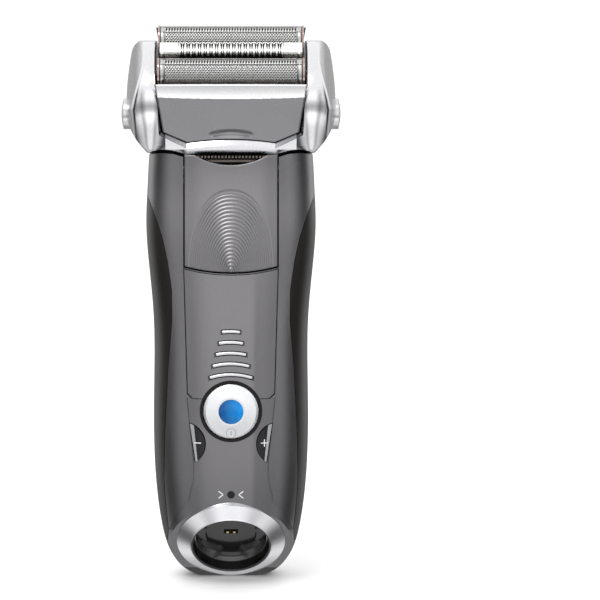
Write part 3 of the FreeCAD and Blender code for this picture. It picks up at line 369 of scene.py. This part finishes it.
def make_blue_glass_with_painted_shade():
    """Glossy deep blue lens, with painted shade that darkens its left side."""
    material, shader = new_material("blue_lens_glass_painted_shade")
    tree = material.node_tree
    # painted shade: the blue runs from dark on the lens's left to bright on its right
    across = calculate(tree, "MULTIPLY_ADD", axes_of(tree)[0], 115.0, 0.55)
    blue = toned(tree, across, (0.0, 0.02, 0.12), (0.0, 0.24, 0.66), 0.0, 1.0)
    drift = add_noise(tree, 420.0, 1.0)
    cloud = toned(tree, drift, (0.75, 0.75, 0.75), (1.0, 1.0, 1.0))
    tree.links.new(mix_colours(tree, "MULTIPLY", 1.0, blue, cloud), shader.inputs["Base Color"])
    tree.links.new(spread(tree, drift, 0.05, 0.09), shader.inputs["Roughness"])
    shader.inputs["Specular IOR Level"].default_value = 0.3
    return material


# CAD pieces whose finish is not the one of their slot
SPECIAL_FINISHES = {
    "minus_button": "key_gloss",
    "plus_button": "key_gloss",
    # the trimmer's comb and cutter take a dark brown tint that is painted shade under the head
    "trimmer_comb": "trimmer_steel",
    "trimmer_cutter": "trimmer_steel",
    "button_bezel": "dark_line",
    "release_button_left": "release_silver",
    "release_button_right": "release_silver",
}


def paint_cad_nodes(materials):
    """Every carried-over CAD piece gets its finish."""
    finishes = {entry["node"]: entry["material_slot"] for entry in frame["record"]["subparts"]}
    finishes.update(SPECIAL_FINISHES)
    for name, node in nodes.items():
        node.data.materials.clear()
        node.data.materials.append(materials[finishes[name]])


# ---------------------------------------------------------------- mesh helpers
def mesh_piece(name, points, faces, material, body, smooth=True):
    """New piece from points in millimetres, riding on a body."""
    mesh = bpy.data.meshes.new(name)
    mesh.from_pydata([tuple(c * MM for c in point) for point in points], [], faces)
    mesh.validate()
    mesh.update()
    if smooth:
        mesh.shade_smooth()
    mesh.materials.append(material)
    piece = bpy.data.objects.new(name, mesh)
    bpy.context.scene.collection.objects.link(piece)
    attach(piece, body)
    return piece


def on_head(points):
    """Points of the head's own frame, millimetres, moved to where the head rests."""
    return [tuple((head_place @ (Vector(point) * MM)) / MM) for point in points]


def grid_faces(rows, columns, start=0, flip=False):
    faces = []
    for row in range(rows - 1):
        for column in range(columns - 1):
            low = start + row * columns + column
            face = (low, low + 1, low + 1 + columns, low + columns)
            faces.append(face[::-1] if flip else face)
    return faces


def closed_sheet(front, back, rows, columns):
    """Solid between a front and a back grid of the same size: its points and faces."""
    points = front + back
    offset = rows * columns
    faces = grid_faces(rows, columns) + grid_faces(rows, columns, offset, True)
    edge = list(range(columns))
    edge += [row * columns + columns - 1 for row in range(1, rows)]
    edge += [(rows - 1) * columns + column for column in range(columns - 2, -1, -1)]
    edge += [row * columns for row in range(rows - 2, 0, -1)]
    for here, there in zip(edge, edge[1:] + edge[:1]):
        faces.append((there, here, here + offset, there + offset))
    return points, faces


def merged(parts):
    """Several (points, faces) lists as one."""
    points, faces = [], []
    for part_points, part_faces in parts:
        start = len(points)
        points += part_points
        faces += [tuple(start + index for index in face) for face in part_faces]
    return points, faces


def strip(route, width, low, high):
    """Thin raised bar along a flat open route."""
    left, right = [], []
    for index, point in enumerate(route):
        before = Vector(route[max(index - 1, 0)])
        after = Vector(route[min(index + 1, len(route) - 1)])
        along = (after - before).normalized()
        side = Vector((-along.y, along.x)) * width / 2
        left.append((point[0] + side.x, point[1] + side.y))
        right.append((point[0] - side.x, point[1] - side.y))
    points = [(x, y, z) for z in (low, high) for x, y in left + right[::-1]]
    ring = 2 * len(route)
    faces = []
    for index in range(len(route) - 1):
        other = ring - 1 - index
        faces.append((index, index + 1, other - 1, other))
        faces.append((ring + index, ring + other, ring + other - 1, ring + index + 1))
    for index in range(ring):
        following = (index + 1) % ring
        faces.append((following, index, index + ring, following + ring))
    return points, faces


def profile_block(section, x0, x1):
    """Section in the plane of y and z, pushed from x0 to x1."""
    count = len(section)
    points = [(x, y, z) for x in (x0, x1) for y, z in section]
    faces = [tuple(range(count)), tuple(range(2 * count - 1, count - 1, -1))]
    for index in range(count):
        following = (index + 1) % count
        faces.append((following, index, index + count, following + count))
    return points, faces


def running_lengths(route):
    """Distance of each point of a route from its start."""
    lengths = [0.0]
    for here, there in zip(route, route[1:]):
        lengths.append(lengths[-1] + math.dist(here, there))
    return lengths


def node_tree(name):
    """Ray-casting tree of a CAD node."""
    mesh = nodes[name].data
    points = [vertex.co for vertex in mesh.vertices]
    return BVHTree.FromPolygons(points, [tuple(face.vertices) for face in mesh.polygons])


def front_depth(tree, x, z):
    """Depth of the first surface met from the front at a place, millimetres, or None."""
    hit = tree.ray_cast(Vector((x * MM, -0.06, z * MM)), Vector((0, 1, 0)))[0]
    return hit.y / MM if hit is not None else None


OUTLIER = 0.12              # a sample further than this from the fit is a gap or a neighbour


class FrontSurface:
    """Smooth fit to the outer front of some CAD nodes: depth over the plane of x and height, millimetres."""

    def __init__(self, names, half_width, low, high, degree=6):
        trees = [node_tree(name) for name in names]
        self.middle = (low + high) / 2
        self.reach = (high - low) / 2
        self.half_width = half_width
        self.powers = [(2 * i, j) for i in range(4) for j in range(degree)]
        places, depths = [], []
        for x in np.linspace(-half_width, half_width, 41):
            for z in np.linspace(low, high, 41):
                found = [depth for depth in (front_depth(tree, x, z) for tree in trees) if depth is not None]
                if found:
                    places.append((x, z))
                    depths.append(min(found))
        places, depths = np.array(places), np.array(depths)
        terms = self.terms(places[:, 0], places[:, 1])
        keep = np.ones(len(depths), bool)
        for _ in range(4):
            self.weights = np.linalg.lstsq(terms[keep], depths[keep], rcond=None)[0]
            keep = np.abs(terms @ self.weights - depths) < OUTLIER

    def terms(self, x, z):
        across = np.asarray(x, float) / self.half_width
        along = (np.asarray(z, float) - self.middle) / self.reach
        return np.stack([across ** i * along ** j for i, j in self.powers], axis=-1)

    def depth(self, x, z):
        return float(self.terms(x, z) @ self.weights)


# ---------------------------------------------------------------- the handle's detailed pieces
SLIDE_HALF = 13.7
SPLIT_Z = 96.45
SPLIT_SAG = 1.7
SPLIT_HALF = 14.0
SLIDE_TOP = 129.0
SCOOP_R = 21.0
SCOOP_LOW_Z = 126.15
SLIDE_THICKNESS = 1.3
PAD_TOP = 118.35            # the rippled finger pad: an arch over the split line
PAD_HALF = 12.1
PAD_ROUND = 2.25            # power of the arch's outline: 2 is an ellipse, more is squarer
PAD_EDGE = (0.975, 1.03)    # the groove along the outline lies between these places
PAD_GROOVE = 0.10
RIPPLES = 21
RIPPLE_DEPTH = 0.26


def slide_bottom(x):
    return SPLIT_Z - SPLIT_SAG * (1 - (x / SPLIT_HALF) ** 2)


def slide_top(x):
    centre = SCOOP_LOW_Z + SCOOP_R
    if abs(x) < SCOOP_R:
        return min(SLIDE_TOP, centre - math.sqrt(SCOOP_R ** 2 - x * x))
    return SLIDE_TOP


def pad_place(x, z):
    """0 at the foot of the pad, 1 on its arched outline."""
    foot = SPLIT_Z - SPLIT_SAG
    height = max(0.0, z - foot) / (PAD_TOP - foot)
    return (height ** PAD_ROUND + (abs(x) / PAD_HALF) ** PAD_ROUND) ** (1 / PAD_ROUND)


def ripple(x, z):
    """Height of the ripples over the plain surface, with a groove along the pad's outline."""
    place = pad_place(x, z)
    inner, outer = PAD_EDGE
    if place > outer:
        return 0.0
    if place > inner:
        return -PAD_GROOVE * math.sin(math.pi * (place - inner) / (outer - inner))
    fade = math.exp(-(x / (2.4 + 5.5 * place)) ** 2) * 0.6 + 0.4
    return RIPPLE_DEPTH * fade * (math.cos(2 * math.pi * RIPPLES * place) - 1) * 0.5 - 0.02


def make_slide(materials):
    """Trimmer slide with its rippled finger pad and thumb scoop."""
    surface_fit = FrontSurface(["trimmer_slide", "center_cover"], SLIDE_HALF - 0.5, 90.0, 128.0)
    rows, columns = 300, 200
    front, back = [], []
    for row in range(rows):
        share = row / (rows - 1)
        for column in range(columns):
            x = SLIDE_HALF * (2 * column / (columns - 1) - 1)
            low, high = slide_bottom(x), slide_top(x)
            z = low + (high - low) * share
            depth = surface_fit.depth(x, z)
            edge = min(SLIDE_HALF - abs(x), z - low, high - z)
            rounding = 0.22 * (1 - min(edge / 0.35, 1.0)) ** 2
            front.append((x, depth + rounding - ripple(x, z), z))
            back.append((x, depth + SLIDE_THICKNESS, z))
    points, faces = closed_sheet(front, back, rows, columns)
    slide = mesh_piece("slide_panel", points, faces, materials["grey_shell"], "trimmer")
    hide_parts("trimmer_slide")


def draped_bar(route, half_width, depth_at, proud, ends=True):
    """Rounded bar laid along a route on a front surface, with round ends where asked."""
    lengths = running_lengths(route)
    columns = 9
    front, back = [], []
    for index, (x, z) in enumerate(route):
        before = Vector(route[max(index - 1, 0)])
        after = Vector(route[min(index + 1, len(route) - 1)])
        along = (after - before).normalized()
        side = Vector((-along.y, along.x))
        near = min(lengths[index], lengths[-1] - lengths[index], half_width) / half_width
        share = math.sqrt(max(0.0, 1 - (1 - near) ** 2)) * 0.97 + 0.03 if ends else 1.0
        for column in range(columns):
            c = 1 - 2 * column / (columns - 1)
            px = x + side.x * half_width * share * c
            pz = z + side.y * half_width * share * c
            level = depth_at(px, pz)
            front.append((px, level - proud * (1 - c ** 4) * share - 0.01, pz))
            back.append((px, level + 0.15, pz))
    return closed_sheet(front, back, len(route), columns)


def stations(start, end, count):
    """Evenly spaced points from start to end, closer together at both ends."""
    run = []
    for index in range(count):
        share = 0.5 - 0.5 * math.cos(math.pi * index / (count - 1))
        run.append(tuple(a + (b - a) * share for a, b in zip(start, end)))
    return run


BAR_TOP_Z = 77.4
BAR_PITCH = 3.18
BAR_HALF_WIDTHS = (2.75, 3.65, 4.55, 5.47, 6.33)
BAR_HALF_HEIGHT = 0.43
BAR_ARC = 20.0
SURROUND = 0.26


def bar_route(half, z):
    """Shallow arch of a bar, highest in its middle."""
    route = []
    for x, _ in stations((-half, 0), (half, 0), 41):
        route.append((x, z + math.sqrt(BAR_ARC ** 2 - x * x) - BAR_ARC))
    return route


def make_bars(materials):
    """Five bright bars with round ends, each in a dark surround that is painted shade in the gap round the bar."""
    cover = FrontSurface(["center_cover"], 8.5, 61.0, 80.0, 4)
    bright, dark = [], []
    for index, half in enumerate(BAR_HALF_WIDTHS):
        z = BAR_TOP_Z - index * BAR_PITCH
        bright.append(draped_bar(bar_route(half, z), BAR_HALF_HEIGHT, cover.depth, 0.16))
        # painted shade: the dark surround stands for the shadowed gap round each bar
        wide = bar_route(half + SURROUND, z)
        dark.append(draped_bar(wide, BAR_HALF_HEIGHT + SURROUND, cover.depth, 0.035))
    points, faces = merged(bright)
    bars = mesh_piece("bars_bright", points, faces, materials["bright_trim"], "handle")
    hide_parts("accent_bars")
    points, faces = merged(dark)
    mesh_piece("bars_surround", points, faces, materials["dark_line"], "handle")


LAMP_Z = 28.7
ARROW_TIP = 2.30
ARROW_LONG = 1.40
ARROW_HIGH = 1.08
KEY_SIGN_X = 9.85
KEY_SIGN_Z = 44.2
POWER_SIGN_Z = 47.3
POWER_SIGN_R = 1.42


def key_surface(name):
    """Front of a key as a function of x and height, for a sign that lies on it."""
    tree = node_tree(name)

    def depth_at(x, z):
        depth = front_depth(tree, x, z)
        return depth if depth is not None else front_depth(tree, x * 0.93, z)

    return depth_at


def make_marks(materials):
    """Arrows beside the lamp, the signs on the side keys and the power key's sign."""
    lower = FrontSurface(["front_shell"], 6.0, 26.0, 34.0, 3)
    for name, way in (("left", -1), ("right", 1)):
        parts = []
        for up in (1, -1):
            start = (way * (ARROW_TIP + ARROW_LONG), LAMP_Z + up * ARROW_HIGH)
            run = stations(start, (way * ARROW_TIP, LAMP_Z), 12)
            parts.append(draped_bar(run, 0.17, lower.depth, 0.06))
        points, faces = merged(parts)
        mesh_piece("lamp_arrow_" + name, points, faces, materials["mark_silver"], "handle")
    level_stroke = ((-1.05, 0), (1.05, 0))
    upright_stroke = ((0, -1.15), (0, 1.15))
    for name, way, strokes in (("minus", -1, [level_stroke]), ("plus", 1, [level_stroke, upright_stroke])):
        depth_at = key_surface(name + "_button")
        parts = []
        for ends in strokes:
            run = stations(*[(way * KEY_SIGN_X + x, KEY_SIGN_Z + z) for x, z in ends], 12)
            parts.append(draped_bar(run, 0.16, depth_at, 0.05))
        points, faces = merged(parts)
        mesh_piece("key_sign_" + name, points, faces, materials["mark_silver"], name + "_key")
    depth_at = key_surface("power_button")
    ring = []
    for index in range(41):
        angle = 2 * math.pi * index / 40
        ring.append((POWER_SIGN_R * math.sin(angle), POWER_SIGN_Z + POWER_SIGN_R * math.cos(angle)))
    stroke = stations((0, POWER_SIGN_Z - 0.7), (0, POWER_SIGN_Z + 0.7), 10)
    parts = [draped_bar(ring, 0.075, depth_at, 0.03, False), draped_bar(stroke, 0.13, depth_at, 0.03)]
    points, faces = merged(parts)
    mesh_piece("power_sign", points, faces, materials["mark_grey"], "power_key")


# ---------------------------------------------------------------- the head's detailed pieces
FOIL_Y = 7.75
FOIL_Z = 20.0
FOIL_R = 4.2
FOIL_T = 0.12
FOIL_HALF = 20.8
FOIL_LEG = 15.7
FOIL_PLAIN = 19.2           # beyond this the foil has no holes
HOLE_PITCH = 0.80
ROW_PITCH = 0.52
HOLE = (0.58, 0.40)         # size of a hole across and along the foil's section
FOLD_HALF = 0.12            # half of the plain strip beside the slots
BAND_ANGLE = math.radians(17.0)


def foil_point(x, along, centre_y, radius):
    """Point of the foil at a distance along its section from the crest, front positive."""
    quarter = math.pi / 2 * FOIL_R
    if abs(along) <= quarter:
        angle = along / FOIL_R
        return (x, centre_y - radius * math.sin(angle), FOIL_Z + radius * math.cos(angle))
    side = 1 if along > 0 else -1
    return (x, centre_y - side * radius, FOIL_Z - (abs(along) - quarter))


def pierced_cell(x0, x1, s0, s1, hole):
    """Rectangle with a round-cornered hole: flat points and faces."""
    middle_x, middle_s = (x0 + x1) / 2, (s0 + s1) / 2
    corners = [(x0, s0), (middle_x, s0), (x1, s0), (x1, middle_s), (x1, s1), (middle_x, s1), (x0, s1),
               (x0, middle_s)]
    inner = []
    for x, s in corners:
        away_x = 0 if x == middle_x else math.copysign(1, x - middle_x)
        away_s = 0 if s == middle_s else math.copysign(1, s - middle_s)
        pull = 0.74 if away_x and away_s else 1.0
        inner.append((middle_x + away_x * hole[0] / 2 * pull, middle_s + away_s * hole[1] / 2 * pull))
    faces = []
    for index in range(8):
        following = (index + 1) % 8
        faces.append((index, following, following + 8, index + 8))
    return corners + inner, faces


def plate(x0, x1, s0, s1):
    """Flat rectangle without a hole."""
    return [(x0, s0), (x1, s0), (x1, s1), (x0, s1)], [(0, 1, 2, 3)]


def pierced_band(columns, band):
    """Slots along the crest."""
    parts = []
    reach = band - FOLD_HALF
    for column in range(columns):
        x0 = -FOIL_PLAIN + column * HOLE_PITCH
        parts.append(pierced_cell(x0, x0 + HOLE_PITCH, -reach, reach, (0.46, 2 * band - 0.70)))
    return parts


def pierced_side(side, columns, rows, start):
    """Staggered holes down one side of the foil."""
    parts = []
    for row in range(rows):
        low, high = sorted((side * (start + row * ROW_PITCH), side * (start + (row + 1) * ROW_PITCH)))
        shift = HOLE_PITCH / 2 if row % 2 else 0.0
        for column in range(columns - (1 if shift else 0)):
            x0 = -FOIL_PLAIN + shift + column * HOLE_PITCH
            parts.append(pierced_cell(x0, x0 + HOLE_PITCH, low, high, HOLE))
        if shift:
            parts.append(plate(-FOIL_PLAIN, -FOIL_PLAIN + shift, low, high))
            parts.append(plate(FOIL_PLAIN - shift, FOIL_PLAIN, low, high))
    return parts


def plain_margins(band, last, end):
    """The foil's edges, its ends and the strips beside the slots."""
    parts = []
    for side in (1, -1):
        parts.append(plate(-FOIL_PLAIN, FOIL_PLAIN, *sorted((side * last, side * end))))
        fold = sorted((side * (band - FOLD_HALF), side * (band + FOLD_HALF)))
        parts.append(plate(-FOIL_PLAIN, FOIL_PLAIN, *fold))
    steps = 44
    for x0, x1 in ((-FOIL_HALF, -FOIL_PLAIN), (FOIL_PLAIN, FOIL_HALF)):
        for step in range(steps):
            parts.append(plate(x0, x1, -end + 2 * end * step / steps, -end + 2 * end * (step + 1) / steps))
    return parts


def thicken_foil(foil):
    """Join the cells into one sheet and give it its thickness."""
    weld = bmesh.new()
    weld.from_mesh(foil.data)
    bmesh.ops.remove_doubles(weld, verts=weld.verts, dist=0.000002)
    bmesh.ops.recalc_face_normals(weld, faces=weld.faces)
    weld.to_mesh(foil.data)
    weld.free()
    thick = foil.modifiers.new("thickness", "SOLIDIFY")
    thick.thickness = FOIL_T * MM
    thick.offset = -1.0


def fold_line(side, band, centre_y):
    """Painted shade: a dark line along the crease where the foil's slots end."""
    ring = []
    for x in (-FOIL_HALF + 0.3, FOIL_HALF - 0.3):
        for offset, lift in ((-0.09, 0.0), (-0.09, 0.035), (0.09, 0.035), (0.09, 0.0)):
            ring.append(foil_point(x, side * band + offset, centre_y, FOIL_R + lift))
    return ring, [(0, 1, 2, 3), (7, 6, 5, 4), (0, 4, 5, 1), (1, 5, 6, 2), (2, 6, 7, 3), (3, 7, 4, 0)]


def make_foil(name, centre_y, materials):
    """Arched shaving foil pierced by a band of slots along the crest and staggered holes beside it."""
    end = math.pi / 2 * FOIL_R + FOIL_Z - FOIL_LEG
    band = BAND_ANGLE * FOIL_R
    start = band + FOLD_HALF
    columns = int(round(2 * FOIL_PLAIN / HOLE_PITCH))
    rows = int((end - 0.9 - band) / ROW_PITCH)
    parts = pierced_band(columns, band)
    for side in (1, -1):
        parts += pierced_side(side, columns, rows, start)
    parts += plain_margins(band, start + rows * ROW_PITCH, end)
    flat, faces = merged(parts)
    points = on_head([foil_point(x, s, centre_y, FOIL_R) for x, s in flat])
    body = "foil_unit_" + name
    foil = mesh_piece("foil_sheet_" + name, points, faces, materials["foil_steel"], body)
    thicken_foil(foil)
    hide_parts("foil_" + name)
    # painted shade along the folds beside the slots
    points, faces = merged([fold_line(side, band, centre_y) for side in (1, -1)])
    points = on_head(points)
    mesh_piece("foil_fold_" + name, points, faces, materials["dark_line"], body, False)


COMB_TEETH = 9              # long teeth on each side of the middle one
COMB_PITCH = 1.66
COMB_BED_HALF = 15.3
COMB_HALF = 20.7
BED_SECTION = [(-2.05, 17.0), (-2.05, 21.6), (-1.9, 22.9), (2.1, 22.9), (2.3, 21.6), (2.3, 17.0),
               (2.05, 17.0), (2.05, 21.6), (1.9, 22.6), (-1.75, 22.6), (-1.85, 21.6), (-1.85, 17.0)]
END_SECTION = [(-2.2, 21.3), (-2.45, 21.6), (-2.45, 22.9), (-2.3, 23.4), (-1.9, 23.8), (-1.4, 23.95),
               (1.6, 23.95), (2.2, 23.6), (2.45, 23.0), (2.45, 21.3)]
FOOT_SECTION = [(-2.3, 18.0), (-2.3, 21.25), (-2.0, 21.25), (-2.0, 18.0)]


def comb_tooth(x, back, drop, width):
    """Tooth over the comb's top, bent down its front and widest before its pointed tip."""
    run = [(back, 23.85), (back - 1.2, 23.95), (0.0, 23.95), (-1.3, 23.9), (-1.95, 23.65), (-2.3, 23.2),
           (-2.42, 22.6), (-2.45, 22.6 - drop)]
    lengths = running_lengths(run)
    along_y, along_z = zip(*run)
    steps, columns = 26, 5
    front, low = [], []
    for step in range(steps):
        share = step / (steps - 1)
        y = np.interp(share * lengths[-1], lengths, along_y)
        z = np.interp(share * lengths[-1], lengths, along_z)
        half = width / 2 * (0.16 + 0.84 * math.sin(math.pi * share ** 1.7) ** 0.8)
        hangs = share > 0.7
        for column in range(columns):
            c = 2 * column / (columns - 1) - 1
            sink = 0.10 * c * c
            front.append((x + half * c, y + (sink if hangs else 0.0), z - (0.0 if hangs else sink)))
            low.append((x + half * c, y + (0.35 if share > 0.6 else 0.0), z - 0.4))
    return closed_sheet(front, low, steps, columns)


def make_lift_comb(materials):
    """Middle comb: a bright run of long and short teeth between two plain ends."""
    parts = []
    for index in range(-COMB_TEETH, COMB_TEETH + 1):
        x = index * COMB_PITCH
        parts.append(comb_tooth(x, 2.2, 0.75, 0.98))
        if index < COMB_TEETH:
            between, following = x + COMB_PITCH / 2, x + COMB_PITCH
            parts.append(comb_tooth(between, 1.2, 0.0, 0.50))
            fall = [(x + 0.05, 2.1), (x + COMB_PITCH / 4, 1.9), (between, 1.1)]
            climb = [(between, 1.1), (x + 3 * COMB_PITCH / 4, 1.9), (following - 0.05, 2.1)]
            parts += [strip(fall, 0.20, 23.3, 23.8), strip(climb, 0.20, 23.3, 23.8)]
    points, faces = merged(parts)
    bright = materials["comb_bright"]
    comb = mesh_piece("comb_teeth", on_head(points), faces, bright, "comb_unit")
    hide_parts("lift_comb")
    left, right = (-COMB_HALF, -COMB_BED_HALF), (COMB_BED_HALF, COMB_HALF)
    # the comb_bed is dark: painted shade between the teeth
    blocks = [
        ("comb_bed", BED_SECTION, (-COMB_BED_HALF, COMB_BED_HALF), "dark_line"),
        ("comb_end_left", END_SECTION, left, "comb_bright"),
        ("comb_foot_left", FOOT_SECTION, left, "cap_rose"),
        ("comb_end_right", END_SECTION, right, "comb_bright"),
        ("comb_foot_right", FOOT_SECTION, right, "cap_rose"),
    ]
    for name, section, ends, finish in blocks:
        points, faces = profile_block(section, *ends)
        mesh_piece(name, on_head(points), faces, materials[finish], "comb_unit", False)


PANEL_TOP = 20.2
PANEL_FOOT = 3.8            # height of its lower corners
PANEL_HALF = 19.9           # half its width at those corners
PANEL_SPREAD = 0.00635      # widening for each millimetre above them
PANEL_KNEE = 12.8           # the lower edge arches between these places and rises beyond them
PANEL_ARCH = 1.2
PANEL_FRONT = 15.17
PANEL_LEAN = 0.0112
PANEL_BACK = 13.45
BAND_Z = 16.6
DIMPLE_Z = 3.0              # middle of the finger recess, with its half width, half height and depth
DIMPLE_HALF = 6.8
DIMPLE_TALL = 2.1
DIMPLE_DEPTH = 0.85


def panel_bottom(across):
    if abs(across) < PANEL_KNEE:
        return PANEL_ARCH * (1 - (across / PANEL_KNEE) ** 2)
    return (abs(across) - PANEL_KNEE) * PANEL_FOOT / (PANEL_HALF - PANEL_KNEE)


def band_start(across):
    """Lower edge of the bright top band, slightly lower in the middle."""
    return BAND_Z - 0.5 + 0.5 * (across / PANEL_HALF) ** 2


def panel_depth(across, z):
    """Depth of the panel's front: leaning field, finger recess and bent-back band."""
    depth = -PANEL_FRONT + (z + 1) * PANEL_LEAN
    band = max(0.0, z - band_start(across))
    depth += 0.30 * band + 0.015 * band * band
    height = (z - DIMPLE_Z) / DIMPLE_TALL
    reach = (across / DIMPLE_HALF) ** 2 + (height if height > 0 else height * 1.4) ** 2
    depth += DIMPLE_DEPTH * max(0.0, 1 - reach) ** 1.3
    edge = min(PANEL_HALF - abs(across), z - panel_bottom(across), PANEL_TOP - z)
    return depth + 0.22 * (1 - min(edge / 0.4, 1.0)) ** 2


def make_front_panel(materials):
    """Cassette's front: bright bent-back top band, satin field and a finger recess."""
    rows, columns = 150, 160
    front, back = [], []
    for row in range(rows):
        share = row / (rows - 1)
        for column in range(columns):
            across = PANEL_HALF * (2 * column / (columns - 1) - 1)
            low = panel_bottom(across)
            z = low + (PANEL_TOP - low) * share
            x = across * (1 + max(0.0, z - PANEL_FOOT) * PANEL_SPREAD)
            front.append((x, panel_depth(across, z), z))
            back.append((x, -PANEL_BACK, z))
    points, faces = closed_sheet(front, back, rows, columns)
    placed = on_head(points)
    panel = mesh_piece("panel_front", placed, faces, materials["panel_silver"], "cassette")
    panel.data.materials.append(materials["panel_band"])
    for face in panel.data.polygons:
        middle = sum((Vector(points[corner]) for corner in face.vertices), Vector()) / len(face.vertices)
        if middle.z > band_start(middle.x):
            face.material_index = 1
    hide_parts("cassette_front_panel")


# ---------------------------------------------------------------- the scene
def main():
    make_camera()
    make_lights()
    make_floor()
    materials = make_materials()
    paint_cad_nodes(materials)
    make_slide(materials)
    make_bars(materials)
    make_marks(materials)
    make_foil("front", -FOIL_Y, materials)
    make_foil("rear", FOIL_Y, materials)
    make_lift_comb(materials)
    make_front_panel(materials)


main()
